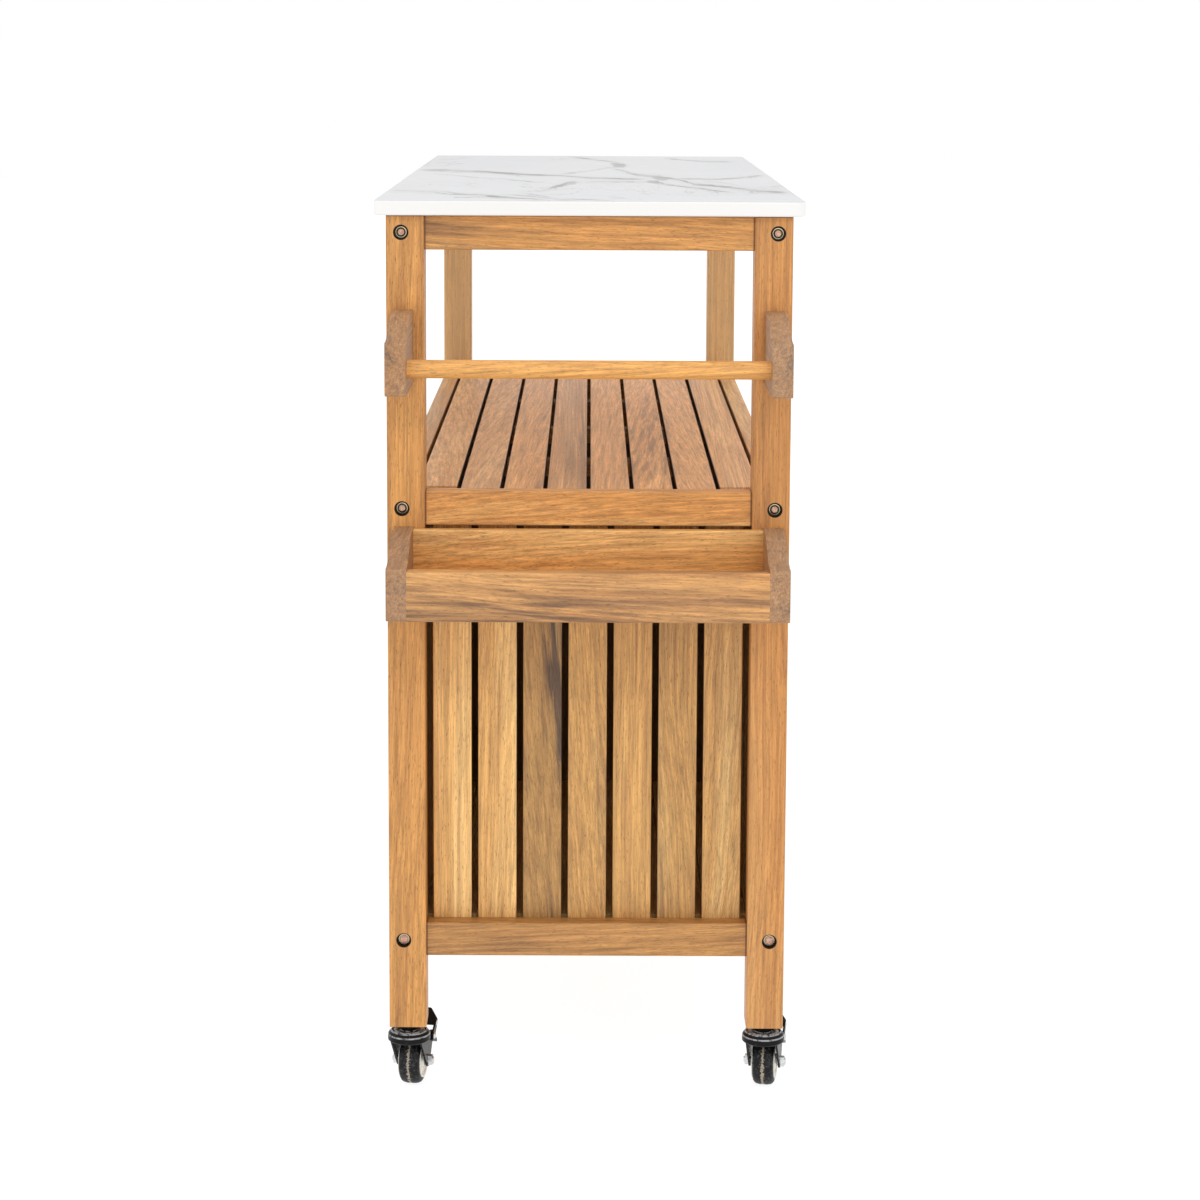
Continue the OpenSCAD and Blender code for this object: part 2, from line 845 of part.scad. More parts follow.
// Cheek of the fork: from the crown's edge it tapers down to the axle and back to the rivet
module cheek_outline() {
    chord = sqrt(pow(crown_d / 2 - 0.5, 2) - pow(cheek_out, 2));
    hull() {
        translate([-chord, crown_z])
            square([2 * chord, steel_t]);
        translate([-trail, wheel_r])
            circle(r = axle_d / 2 + 4, $fn = 32);
        translate([pedal_x, pedal_z])
            circle(r = rivet_d / 2 + 4, $fn = 32);
    }
}

module caster_fork() {
    color("black")
    difference() {
        union() {
            rotate_extrude() crown_section();
            for (y = [cheek_y, -cheek_out])
                translate([0, y + steel_t, 0])
                    rotate([90, 0, 0])
                        linear_extrude(steel_t) cheek_outline();
        }
        across(-trail, wheel_r) cylinder(d = axle_d + 2 * hole_fit, h = crown_d, center = true);
        across(pedal_x, pedal_z) cylinder(d = rivet_d + 2 * hole_fit, h = crown_d, center = true);
    }
}

// Places its children on a pivot of the caster, with their Z across the caster
module across(x, z) {
    translate([x, 0, z])
        rotate([90, 0, 0])
            children();
}

// Axle bolt with its nut, and the two rivets that the pedal swings on
module caster_axle() {
    grip = 2 * cheek_out;
    nut_h = axle_nut_af / 2;
    color("lightgray") {
        across(-trail, wheel_r) {
            cylinder(d = axle_d, h = grip + 2 * nut_h + 1, center = true);
            translate([0, 0, grip / 2 + play / 2])
                cylinder(d = axle_nut_af / cos(30), h = nut_h - 1, $fn = 6);
            translate([0, 0, -grip / 2 - play / 2 - nut_h])
                axle_nut(nut_h);
        }
        for (s = [1, -1])
            mirror([0, s < 0 ? 1 : 0, 0])
                across(pedal_x, pedal_z) pedal_rivet();
    }
}

module axle_nut(h) {
    difference() {
        union() {
            translate([0, 0, 1])
                cylinder(d = axle_nut_af / cos(30), h = h - 1, $fn = 6);
            cylinder(d = axle_nut_af * 0.85, h = h);
        }
        translate([0, 0, -1])
            cylinder(d = axle_d + 2 * hole_fit, h = h + 2);
    }
}

module pedal_rivet() {
    head_r = rivet_d / 2 + 1.5;
    translate([0, 0, cheek_y - 1])
        cylinder(r = head_r, h = 1 - play / 2);
    translate([0, 0, cheek_y - 1])
        cylinder(d = rivet_d, h = steel_t + 1 + 2 * play + steel_t);
    translate([0, 0, pedal_in + steel_t + play])
        cylinder(r1 = head_r, r2 = head_r - 1, h = 1.5);
}

module caster_hub() {
    color("ivory")
    across(-trail, wheel_r)
        rotate_extrude()
            polygon([
                [axle_d / 2 + running_fit, -hub_w / 2], [axle_d / 2 + 4, -hub_w / 2],
                [axle_d / 2 + 5, -hub_w / 2 + 2.5], [hub_d / 2 - 3, -tyre_w / 2 + 1],
                [hub_d / 2 - 2, -tyre_w / 2 - 1], [hub_d / 2, -tyre_w / 2 - 1],
                [hub_d / 2, tyre_w / 2 + 1], [hub_d / 2 - 2, tyre_w / 2 + 1],
                [hub_d / 2 - 3, tyre_w / 2 - 1], [axle_d / 2 + 5, hub_w / 2 - 2.5],
                [axle_d / 2 + 4, hub_w / 2], [axle_d / 2 + running_fit, hub_w / 2]]);
}

// Tyre with a slightly crowned tread and rounded shoulders
module caster_tyre() {
    shoulder_r = 5.5;
    side = tyre_w / 2;
    color("dimgray")
    across(-trail, wheel_r)
        rotate_extrude()
            polygon(concat(
                [[hub_d / 2 + hole_fit, -side], [wheel_r - shoulder_r, -side]],
                [for (t = [0 : 22.5 : 67.5])
                    [wheel_r - shoulder_r + shoulder_r * sin(t) * 0.93, -side + shoulder_r * (1 - cos(t))]],
                [[wheel_r, -side * 0.35], [wheel_r, side * 0.35]],
                [for (t = [67.5 : -22.5 : 0])
                    [wheel_r - shoulder_r + shoulder_r * sin(t) * 0.93, side - shoulder_r * (1 - cos(t))]],
                [[hub_d / 2 + hole_fit, side]]));
}

// Brake pedal, drawn pressed down, about its rivets: two cheeks joined by a foot plate and a shoe
module pedal_foot_line(from, to, r) {
    hull() {
        translate([-from * cos(foot_angle), from * sin(foot_angle)])
            circle(r = r, $fn = 24);
        translate([-to * cos(foot_angle), to * sin(foot_angle)])
            circle(r = r, $fn = 24);
    }
}

module shoe_strip(half_l) {
    reach = wheel_r + play + steel_t / 2;
    translate([-trail - pedal_x - reach * cos(shoe_angle), wheel_r - pedal_z + reach * sin(shoe_angle)])
        rotate([0, 0, -shoe_angle])
            square([steel_t, 2 * half_l], center = true);
}

module pedal_cheek() {
    reach = wheel_r + play + steel_t / 2;
    hull() {
        circle(r = rivet_d / 2 + 3, $fn = 32);
        shoe_strip(4);
    }
    hull() {
        circle(r = rivet_d / 2 + 3, $fn = 32);
        pedal_foot_line(pedal_l * 0.4, pedal_l * 0.5, 3);
    }
}

// The foot plate seen from above it: it narrows to a tip with round corners
module foot_plan(width) {
    corner_r = 5;
    polygon(concat(
        [[0, -width / 2], [pedal_l * 0.6, -width / 2]],
        [for (s = [-1, 1]) for (t = [60 : -15 : 0])
            [pedal_l - corner_r + corner_r * cos(s < 0 ? t : 60 - t),
             s * (pedal_tip_w / 2 - corner_r + corner_r * sin(s < 0 ? t : 60 - t))]],
        [[pedal_l * 0.6, width / 2], [0, width / 2]]));
}

module caster_pedal() {
    width = 2 * (pedal_in + steel_t);
    color("black")
    difference() {
        across(pedal_x, pedal_z)
            rotate([0, 0, -pedal_swing]) {
                for (z = [pedal_in, -pedal_in - steel_t])
                    translate([0, 0, z])
                        linear_extrude(steel_t) pedal_cheek();
                linear_extrude(width, center = true)
                    shoe_strip(4);
                intersection() {
                    linear_extrude(width, center = true)
                        pedal_foot_line(pedal_l * 0.4, pedal_l - steel_t / 2, steel_t / 2);
                    rotate([90, 0, 180 - foot_angle])
                        linear_extrude(4 * steel_t, center = true) foot_plan(width);
                }
            }
        across(pedal_x, pedal_z)
            cylinder(d = rivet_d + 2 * running_fit, h = 2 * width, center = true);
    }
}

placed() countertop();
placed() leg_front_right();
placed() leg_back_right();
placed() leg_front_left();
placed() leg_back_left();
placed() top_end_rails();
placed() shelf_end_rails();
placed() base_end_rails();
placed() top_side_rails();
placed() shelf_side_rails();
placed() base_side_rails();
placed() cross_battens();
placed() shelf_slats();
placed() base_slats();
placed() end_panel_slats();
placed() back_panel_slats();
placed() frame_bolts();
placed() barrel_nuts();
placed() bracket_screws();
placed() towel_brackets();
placed() towel_bar();
placed() rack_ends();
placed() rack_back_board();
placed() rack_front_board();
placed() rack_floor();
placed() cabinet_partition();
placed() caster_sockets();
placed() caster_stems();
placed() hinge_leg_leaves();
placed() door_catches();
placed() door_left_stiles();
placed() door_left_rails();
placed() door_left_slats();
placed() door_left_knob();
placed() door_left_leaves();
placed() door_right_stiles();
placed() door_right_rails();
placed() door_right_slats();
placed() door_right_knob();
placed() door_right_leaves();
placed() at_caster(1, -1) caster_fork();  // caster_front_right_fork
placed() at_caster(1, -1) caster_axle();  // caster_front_right_axle
placed() at_caster(1, -1) caster_hub();  // caster_front_right_hub
placed() at_caster(1, -1) caster_tyre();  // caster_front_right_tyre
placed() at_caster(1, -1) caster_pedal();  // caster_front_right_pedal
placed() at_caster(1, 1) caster_fork();  // caster_back_right_fork
placed() at_caster(1, 1) caster_axle();  // caster_back_right_axle
placed() at_caster(1, 1) caster_hub();  // caster_back_right_hub
placed() at_caster(1, 1) caster_tyre();  // caster_back_right_tyre
placed() at_caster(1, 1) caster_pedal();  // caster_back_right_pedal
placed() at_caster(-1, -1) caster_fork();  // caster_front_left_fork
placed() at_caster(-1, -1) caster_axle();  // caster_front_left_axle
placed() at_caster(-1, -1) caster_hub();  // caster_front_left_hub
placed() at_caster(-1, -1) caster_tyre();  // caster_front_left_tyre
placed() at_caster(-1, -1) caster_pedal();  // caster_front_left_pedal
placed() at_caster(-1, 1) caster_fork();  // caster_back_left_fork
placed() at_caster(-1, 1) caster_axle();  // caster_back_left_axle
placed() at_caster(-1, 1) caster_hub();  // caster_back_left_hub
placed() at_caster(-1, 1) caster_tyre();  // caster_back_left_tyre
placed() at_caster(-1, 1) caster_pedal();  // caster_back_left_pedal
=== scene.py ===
import json
import math

import bpy
from mathutils import Matrix, Vector


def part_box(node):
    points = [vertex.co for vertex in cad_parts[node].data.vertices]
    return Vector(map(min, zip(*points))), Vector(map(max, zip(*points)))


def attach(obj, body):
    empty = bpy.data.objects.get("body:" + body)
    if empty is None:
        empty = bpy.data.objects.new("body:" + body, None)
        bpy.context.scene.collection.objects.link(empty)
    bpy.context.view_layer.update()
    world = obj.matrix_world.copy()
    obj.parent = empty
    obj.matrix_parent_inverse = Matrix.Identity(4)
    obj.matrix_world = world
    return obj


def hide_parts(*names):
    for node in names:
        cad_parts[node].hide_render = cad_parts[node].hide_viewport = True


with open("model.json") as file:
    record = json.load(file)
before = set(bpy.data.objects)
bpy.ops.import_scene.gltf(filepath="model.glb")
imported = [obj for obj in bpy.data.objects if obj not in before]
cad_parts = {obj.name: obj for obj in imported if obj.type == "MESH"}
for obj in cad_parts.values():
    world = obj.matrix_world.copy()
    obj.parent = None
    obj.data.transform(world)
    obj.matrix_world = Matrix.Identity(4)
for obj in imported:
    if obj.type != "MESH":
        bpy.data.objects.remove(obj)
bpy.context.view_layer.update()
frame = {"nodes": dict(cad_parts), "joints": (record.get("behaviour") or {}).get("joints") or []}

# Worktop
# A slab of white engineered stone, 15 mm thick with eased edges, laid on the frame.
# Its print is a grey-beige marble: a few long veins that cross the slab on a slant, with
# thick knots where they meet, and a faint net of hairlines between them.


class Tone:
    """A socket in a node tree. Sums on numbers add Math nodes; add() makes every other node."""

    def __init__(self, socket):
        self.socket = socket
        self.tree = socket.id_data

    def add(self, kind, inputs=None, settings=None, out=0):
        """Makes a node: first its settings, then the values or links of its sockets. The setting
        points holds the points of a curve node."""
        node = self.tree.nodes.new(kind)
        for name, value in (settings or {}).items():
            if name == "points":
                curve = node.mapping.curves[0]
                node.mapping.use_clip = False
                for point, at in zip([curve.points[0], curve.points[1]], [value[0], value[-1]]):
                    point.location = at
                for at in value[1:-1]:
                    curve.points.new(*at)
                for point in curve.points:
                    point.handle_type = "VECTOR"
                node.mapping.update()
            else:
                setattr(node, name, value)
        for key, value in (inputs or {}).items():
            for one in value if isinstance(value, list) else [value]:
                if isinstance(one, Tone):
                    self.tree.links.new(one.socket, node.inputs[key])
                else:
                    node.inputs[key].default_value = one
        return Tone(node.outputs[out])

    def math(self, operation, *values):
        return self.add("ShaderNodeMath", dict(enumerate(values)), {"operation": operation})

    def __add__(self, other):
        return self.math("ADD", self, other)

    __radd__ = __add__

    def __sub__(self, other):
        return self.math("SUBTRACT", self, other)

    def __rsub__(self, other):
        return self.math("SUBTRACT", other, self)

    def __mul__(self, other):
        return self.math("MULTIPLY", self, other)

    __rmul__ = __mul__

    def __abs__(self):
        return self.math("ABSOLUTE", self)

    def parts(self):
        """The three numbers of a vector or colour."""
        return [self.add("ShaderNodeSeparateXYZ", {0: self}, out=k) for k in range(3)]

    def joined(self, x, y, z):
        return self.add("ShaderNodeCombineXYZ", {0: x, 1: y, 2: z})

    def vector(self, operation, *values, out=0):
        return self.add("ShaderNodeVectorMath", dict(enumerate(values)), {"operation": operation}, out)

    def scaled(self, factor):
        """A vector or colour times a number."""
        return self.add("ShaderNodeVectorMath", {0: self, "Scale": factor}, {"operation": "SCALE"})

    def step(self, low, high, to_low=0.0, to_high=1.0):
        """A soft step of this number between low and high."""
        return self.add(
            "ShaderNodeMapRange",
            {"Value": self, 1: low, 2: high, 3: to_low, 4: to_high},
            {"interpolation_type": "SMOOTHSTEP"},
        )

    def over(self, under, colour):
        """The colour laid over the one under it, where this number is 1."""
        return self.add("ShaderNodeMix", {0: self, 6: under, 7: colour}, {"data_type": "RGBA"}, out=2)

    def noise(self, scale, detail=2.0, roughness=0.5, distortion=0.0, out=0):
        """Cloudy noise at this place."""
        sockets = {"Vector": self, "Scale": scale, "Detail": detail, "Roughness": roughness,
                   "Distortion": distortion}
        return self.add("ShaderNodeTexNoise", sockets, out=out)


class Finish:
    """A material on Object coordinates. What is the same all over goes straight on its shader."""

    def __init__(self, name, **constants):
        self.material = bpy.data.materials.new(name)
        self.material.use_nodes = True
        tree = self.material.node_tree
        self.shader = tree.nodes["Principled BSDF"]
        self.place = Tone(tree.nodes.new("ShaderNodeTexCoord").outputs["Object"])
        for socket, value in constants.items():
            self.set(socket.replace("_", " "), value)

    def set(self, socket, value):
        if isinstance(value, Tone):
            value.tree.links.new(value.socket, self.shader.inputs[socket])
        else:
            self.shader.inputs[socket].default_value = value

    def relief(self, height, strength, depth):
        self.set("Normal", height.add("ShaderNodeBump",
                                      {"Height": height, "Strength": strength, "Distance": depth}))

    def dress(self, *nodes):
        """Gives the finish to the model's own pieces."""
        for node in nodes:
            mesh = frame["nodes"][node].data
            mesh.materials.clear()
            mesh.materials.append(self.material)


def rgb(red, green, blue):
    return (red, green, blue, 1.0)


slab_low, slab_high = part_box("countertop")
slab_mid = (slab_low + slab_high) / 2
slab_half = (slab_high.z - slab_low.z) / 2
edge_white = rgb(0.77, 0.762, 0.745)
# The top's two greys are darker than the white edges by painted shade; the clouds they make are print
shaded_top_white = rgb(0.595, 0.598, 0.61)
shaded_top_cloud = rgb(0.53, 0.535, 0.55)
vein_dark = rgb(0.12, 0.117, 0.112)
vein_beige = rgb(0.25, 0.24, 0.22)
# Each vein is drawn across the depth of the slab: places from front to back, as parts of its
# depth, with the place along the slab in metres from its middle; then its half width in
# metres and its strength
veins = [
    ([(0.0, -0.12), (0.08, -0.11), (0.21, -0.06), (0.34, 0.01), (0.40, 0.03), (0.50, 0.10),
      (0.66, 0.12)], 0.013, 1.0),
    ([(0.40, 0.0), (0.49, -0.09), (0.55, -0.20), (0.60, -0.28)], 0.009, 0.8),
    ([(0.05, -0.03), (0.18, 0.08), (0.27, 0.13), (0.38, 0.23)], 0.005, 0.6),
    ([(0.42, -0.58), (0.51, -0.48), (0.55, -0.41), (0.61, -0.32)], 0.013, 0.9),
    ([(0.54, -0.24), (0.60, -0.09), (0.63, 0.0), (0.69, 0.05), (0.73, 0.12), (0.77, 0.23), (0.85, 0.30),
      (0.91, 0.36), (1.0, 0.41)], 0.017, 1.0),
    ([(0.64, 0.14), (0.72, 0.27), (0.78, 0.34), (0.86, 0.42)], 0.012, 1.0),
    ([(0.72, 0.11), (0.85, 0.11), (0.91, 0.07), (1.0, 0.0)], 0.009, 0.8),
    ([(0.79, 0.16), (0.85, 0.20), (0.90, 0.29)], 0.005, 0.7),
    ([(0.37, 0.40), (0.42, 0.29), (0.45, 0.20), (0.49, 0.19)], 0.016, 0.9),
    ([(0.47, 0.19), (0.57, 0.17), (0.63, 0.20), (0.69, 0.18)], 0.008, 0.8),
    ([(0.0, 0.40), (0.08, 0.43), (0.18, 0.48), (0.24, 0.49), (0.32, 0.54), (0.42, 0.61)], 0.011, 1.0),
    ([(0.29, 0.46), (0.37, 0.52), (0.42, 0.58), (0.48, 0.61)], 0.007, 0.9),
    ([(0.32, 0.42), (0.38, 0.49), (0.43, 0.57), (0.50, 0.58), (0.57, 0.61)], 0.007, 0.8),
    ([(0.0, -0.42), (0.08, -0.48), (0.14, -0.53)], 0.008, 0.6),
    ([(0.73, -0.55), (0.81, -0.45), (0.87, -0.41), (0.96, -0.40)], 0.013, 0.9),
]
# Knots where veins meet: part of the depth, place along the slab, and half sizes in metres
knots = [(0.59, -0.29, 0.012, 0.080), (0.69, 0.08, 0.008, 0.070), (0.67, 0.18, 0.007, 0.045),
         (0.455, 0.21, 0.006, 0.045)]

stone = Finish("white_stone", Roughness=0.32, IOR=1.5)
x, y, z = stone.place.vector("SUBTRACT", stone.place, slab_mid).parts()
slab_depth = slab_high.y - slab_low.y
across = y * (1 / slab_depth) + 0.5
wander = stone.place.noise(7.0, 7.0, 0.66) - 0.5
thick = stone.place.noise(6.0, 3.0)
faded = stone.place.noise(15.0, 3.0).step(0.36, 0.58, 0.5, 1.0)
split = (thick - 0.45) * 0.28
veined = None
for line, half_width, strength in veins:
    reach = across.step(line[0][0] - 0.01, line[0][0] + 0.05) * across.step(
        line[-1][0] + 0.01, line[-1][0] - 0.05)
    # The curve runs in 0 to 1, so places along the slab are halved and centred on it
    run = across.add("ShaderNodeFloatCurve", {"Value": across},
                     {"points": [(part, 0.5 + 0.5 * along) for part, along in line]}) * 2.0 - 1.0
    off = x - run - wander * 0.12
    width = (thick.step(0.36, 0.70) * 2.2 + 0.5) * reach * half_width + 0.0001
    # A solid core, a thin twin line that parts from it, and a grey halo round both
    core = (width - abs(off)).math("DIVIDE", width - abs(off), width).step(0.0, 0.45)
    twin = (abs(off - split)).step(half_width * 0.5, half_width * 0.15)
    halo = abs(off).step(half_width * 6.0, 0.0) * 0.16
    line_tone = core.math("MAXIMUM", core * faded, core.math("MAXIMUM", twin * 0.6, halo)) * reach * strength
    veined = line_tone if veined is None else veined.math("MAXIMUM", veined, line_tone)
ragged = stone.place.vector("MULTIPLY", stone.place, (12.0, 70.0, 1.0)).noise(1.0, 4.0, 0.65) * 3.2 - 1.6
for part, along, half_across, half_along in knots:
    from_knot = x.joined((x - along) * (1 / half_along), (across - part) * (slab_depth / half_across), 0.0)
    knot = (from_knot.vector("LENGTH", from_knot, out=1) + ragged).step(1.15, 0.65)
    veined = veined.math("MAXIMUM", veined, knot * (faded * 0.5 + 0.25))
hair = abs(stone.place.vector("MULTIPLY", stone.place, (0.5, 1.3, 1.0)).noise(4.2, 5.0, 0.62, 0.6) - 0.5)
hairline = hair.step(0.010, 0.0) * stone.place.noise(3.0, 1.0).step(0.5, 0.66) * 0.45
cloud = stone.place.noise(3.2, 3.0).step(0.35, 0.7) * 0.5
# The top is a darker grey than the white edges: painted shade, as the light falls mostly from the front. Its
# clouds and veins are print.
on_top = z.step(slab_half - 0.0013, slab_half - 0.0002)
colour = cloud.over(shaded_top_white, shaded_top_cloud)
vein_tone = stone.place.noise(40.0, 3.0, 0.6).step(0.40, 0.60).over(vein_dark, vein_beige)
colour = veined.math("MAXIMUM", veined, hairline).over(colour, vein_tone)
stone.set("Base Color", on_top.over(edge_white, colour))
stone.set("Roughness", stone.place.noise(60.0, 2.0) * 0.10 + 0.27)
stone.relief(stone.place.noise(900.0, 1.0), 0.05, 0.0002)
stone.dress("countertop")

# Legs and rails
# Oiled hardwood: square legs with the grain up, rails with the grain along them. Every board
# is cut from its own place in the wood, so streaks, rings and tint differ from piece to piece.

GRAINS = {"X": (0, 1, 2), "Y": (1, 2, 0), "Z": (2, 0, 1)}
# Each wood is given as its sapwood, heartwood, brown and dark tones
honey_woods = (rgb(0.70, 0.400, 0.140), rgb(0.61, 0.285, 0.075),
               rgb(0.37, 0.150, 0.043), rgb(0.105, 0.055, 0.030))
leg_woods = (rgb(0.630, 0.325, 0.102),) + honey_woods[1:]
base_woods = (rgb(0.63, 0.305, 0.093), rgb(0.61, 0.295, 0.085)) + honey_woods[2:]


def hardwood(name, grain, start, pitch, woods=honey_woods, streaks=0.35, tint=0.10, boards=(), fade=0.0,
             gloss=0.42, tone=1.0, lean=0.12, seed=0.0, slat_axis=None, stretch=1.0):
    """Solid wood, from sapwood to the darkest heart. start and pitch mark out the boards of a
    node: each box of that grid is one board with a random cut. boards gives shade and dark
    streaks, board by board along Y. slat_axis is the number of the axis that the slats are
    counted along: their narrow sides are painted dark, as painted shade in the gaps. Under
    stretch 1 the figure is longer."""
    finish = Finish(name, IOR=1.48)
    place = finish.place
    from_start = place.vector("SUBTRACT", place, start)
    board = place.vector("SNAP", from_start, pitch)
    cut = place.add("ShaderNodeTexWhiteNoise", {"Vector": board, "W": seed},
                    {"noise_dimensions": "4D"}, out=1)
    luck = cut.parts()
    # Each board is cut from its own place in a block of wood nine metres wide
    spot = place.vector("MULTIPLY_ADD", cut, (9.0, 9.0, 9.0), place)
    xyz = spot.parts()
    along, across, through = (xyz[k] for k in GRAINS[grain])

    # The grain leans a little, wanders, and parts round a rare knot
    cell = place.joined(along * 2.4, across * 10.0, through * 10.0)
    knot = cell.add("ShaderNodeTexVoronoi", {"Vector": cell, "Scale": 1.0}, out=0).step(0.17, 0.02)
    drift = place.joined(along * (1.3 * stretch), across * 8.0, through * 8.0)
    wander = drift.noise(1.0, 2.0, 0.5, 0.5) - 0.5
    bend = wander * 0.040 + knot * 0.012 + along * ((luck[0] - 0.5) * lean)
    across = across + bend
    through = through + bend

    def lines(fine, coarse):
        return place.joined(along * (coarse * stretch), across * fine, through * fine)

    broad = lines(30.0, 1.1).noise(1.0, 3.0, 0.55)
    streak = lines(190.0, 1.8).noise(1.0, 2.0, 0.55)
    line = lines(420.0, 6.0).noise(1.0, 2.0, 0.6)
    fibre = lines(1100.0, 40.0).noise(1.0, 2.0, 0.6)
    pore = lines(1500.0, 150.0).noise(1.0, 1.0).step(0.62, 0.70)
    # Year rings: straight where the saw cut across them, long flames where it cut along them
    slant = luck[0] * 2.4 + 0.3
    flame = lines(11.0, 0.8).noise(1.0, 1.0, 0.5) * (luck[2] * 9.0)
    rings = (across * slant.math("COSINE", slant) + through * slant.math("SINE", slant)) * 130.0 + flame
    ring = rings.math("SINE", rings * math.tau) * 0.5 + 0.5

    amount = luck[1].step(0.1, 0.95, streaks * 0.3, streaks * 1.7)
    shade = luck[2] * (2 * tint * tone) + (1.0 - tint) * tone
    if boards:
        rank = board.parts()[1] * (1 / (pitch[1] * len(boards))) + 0.5 / len(boards)
        by_hand = [[((k + 0.5) / len(boards), 0.5 * one[part]) for k, one in enumerate(boards)]
                   for part in (0, 1)]
        shade, amount = (rank.add("ShaderNodeFloatCurve", {"Value": rank}, {"points": points}) * 2.0
                         for points in by_hand)
    sapwood, heartwood, brown, dark = woods
    colour = (broad + luck[1] * 0.24).step(0.46, 0.70).over(sapwood, heartwood)
    colour = (streak.step(0.45, 0.68) * 0.38 + ring.step(0.5, 1.0) * 0.14).over(colour, brown)
    heart = lines(19.0, 0.8).noise(1.0, 3.0, 0.60).step(0.50, 0.68) * amount
    heart = heart * streak.step(0.34, 0.60, 0.35, 1.1)
    colour = heart.math("MINIMUM", heart, 0.92).over(colour, dark)
    colour = (knot.step(0.5, 1.0) * 0.85).over(colour, dark)
    worn = lines(3.0, 2.0).noise(1.0, 3.0).step(0.3, 0.75) * fade
    grey = sum(heartwood[:3]) / 3
    colour = worn.over(colour, rgb(grey * 1.08, grey, grey * 0.86))
    shade = shade * (1.0 - pore * 0.40) * (line * 1.25 + 0.40) * (fibre * 0.9 + 0.57)
    # The narrow sides of the slats are painted dark: painted shade in the gaps between them
    if slat_axis is not None:
        from_board = place.vector("SUBTRACT", from_start, board).parts()[slat_axis]
        from_middle = abs(from_board - pitch[slat_axis] / 2)
        shade = shade * from_middle.step(slat_w / 2 - 0.0006, slat_w / 2 - 0.0001, 1.0, 0.12)
    finish.colour = colour.scaled(shade)
    finish.set("Base Color", finish.colour)
    finish.set("Roughness", fibre * 0.22 + (gloss - 0.08))
    finish.relief(fibre * 0.6 - pore * 0.7 - ring * 0.15, 0.22, 0.0005)
    return finish


middle = Vector((slab_mid.x, slab_mid.y, 0.0))
slat_w = 0.040
# The grid of boards starts outside the cart. A pitch of cart_span puts one joint near the cart's
# middle, one of uncut puts none in the cart, and level_pitch parts rails at different heights.
outside = -3.0
cart_span = Vector((3.0, 3.0, 3.0))
uncut = 6.0
level_pitch = 0.2

leg = hardwood("leg_wood", "Z", middle - cart_span, cart_span, leg_woods, streaks=0.15, tint=0.05,
               lean=0.05, tone=0.96)
# The counterbores for the frame bolts are painted dark inside: painted shade deep in the holes
counterbore_r = 0.0075
bolt_low, bolt_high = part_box("frame_bolts")
bolt_head_w = 0.012
bolt_off = (bolt_high.y - bolt_low.y - bolt_head_w) / 2
bolt_levels = [(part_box(node)[0].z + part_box(node)[1].z) / 2
               for node in ("top_end_rails", "shelf_end_rails", "base_end_rails")]
x, y, z = leg.place.parts()
nearest = None
for level in bolt_levels:
    aside = x.joined(abs(y - middle.y) - bolt_off, z - level, 0.0)
    distance = aside.vector("LENGTH", aside, out=1)
    nearest = distance if nearest is None else nearest.math("MINIMUM", nearest, distance)
# Painted shade on the walls of the counterbores
counterbore_shade = nearest.step(counterbore_r + 0.0004, counterbore_r + 0.0001)
# Painted shadow in the joints: a dark line at each end of a rail and under the worktop
joint_shadow = rgb(0.10, 0.045, 0.02)
joint_w = 0.0020
joint_depth = 0.8
joint_z = (slab_low.z - joint_w, slab_low.z - joint_w / 2)
# The two legs at the other end are painted paler and greyer, the leg at the back of the
# towel bar's end is cut from darker, redder wood
far_legs_paler = rgb(0.57, 0.48, 0.29)
red_wood = rgb(0.41, 0.13, 0.036)
counterbore_shade_colour = rgb(0.05, 0.028, 0.014)
pale = x.step(middle.x + 0.1, middle.x - 0.1) * 0.32
red = x.step(middle.x - 0.1, middle.x + 0.1) * y.step(middle.y - 0.1, middle.y + 0.1) * 0.2
leg_wood = red.over(pale.over(leg.colour, far_legs_paler), red_wood)
leg_colour = counterbore_shade.over(leg_wood, counterbore_shade_colour)
# Painted shadow under the worktop at the top of each leg
leg.set("Base Color", (z.step(*joint_z) * joint_depth).over(leg_colour, joint_shadow))
leg.dress("leg_front_right", "leg_back_right", "leg_front_left", "leg_back_left")
for rails, woods, streaks, tone, seed in (
        ("top", honey_woods, 0.5, 0.98, 17.0), ("shelf", honey_woods, 0.1, 1.11, 2.0),
        ("base", base_woods, 0.3, 0.74, 3.0)):
    rail = hardwood(rails + "_end_rail_wood", "Y", middle - cart_span, (cart_span.x, uncut, uncut),
                    woods, streaks=streaks, tint=0.0, tone=tone, seed=seed)
    x, y, z = rail.place.parts()
    rail_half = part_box(rails + "_end_rails")[1].y - middle.y
    # Painted shadow at each end of the rail and under the worktop
    joint = abs(y - middle.y).step(rail_half - joint_w, rail_half - joint_w / 2)
    joint = joint.math("MAXIMUM", joint, z.step(*joint_z)) * joint_depth
    rail.set("Base Color", joint.over(rail.colour, joint_shadow))
    rail.dress(rails + "_end_rails")
side_rail = hardwood("side_rail_wood", "X", (outside, middle.y + outside, 0.0),
                     (uncut, cart_span.y, level_pitch), tint=0.12)
side_rail.dress("top_side_rails", "shelf_side_rails", "base_side_rails")

# Slats and battens
# Thin slats from the same wood, laid side by side with narrow gaps: along the cart for the
# shelf and the cabinet floor, upright for the end panels and the back. The shelf is dusty.
# The partition inside the cabinet is painted very dark and the cabinet floor somewhat darker: painted shade
# inside the cabinet.

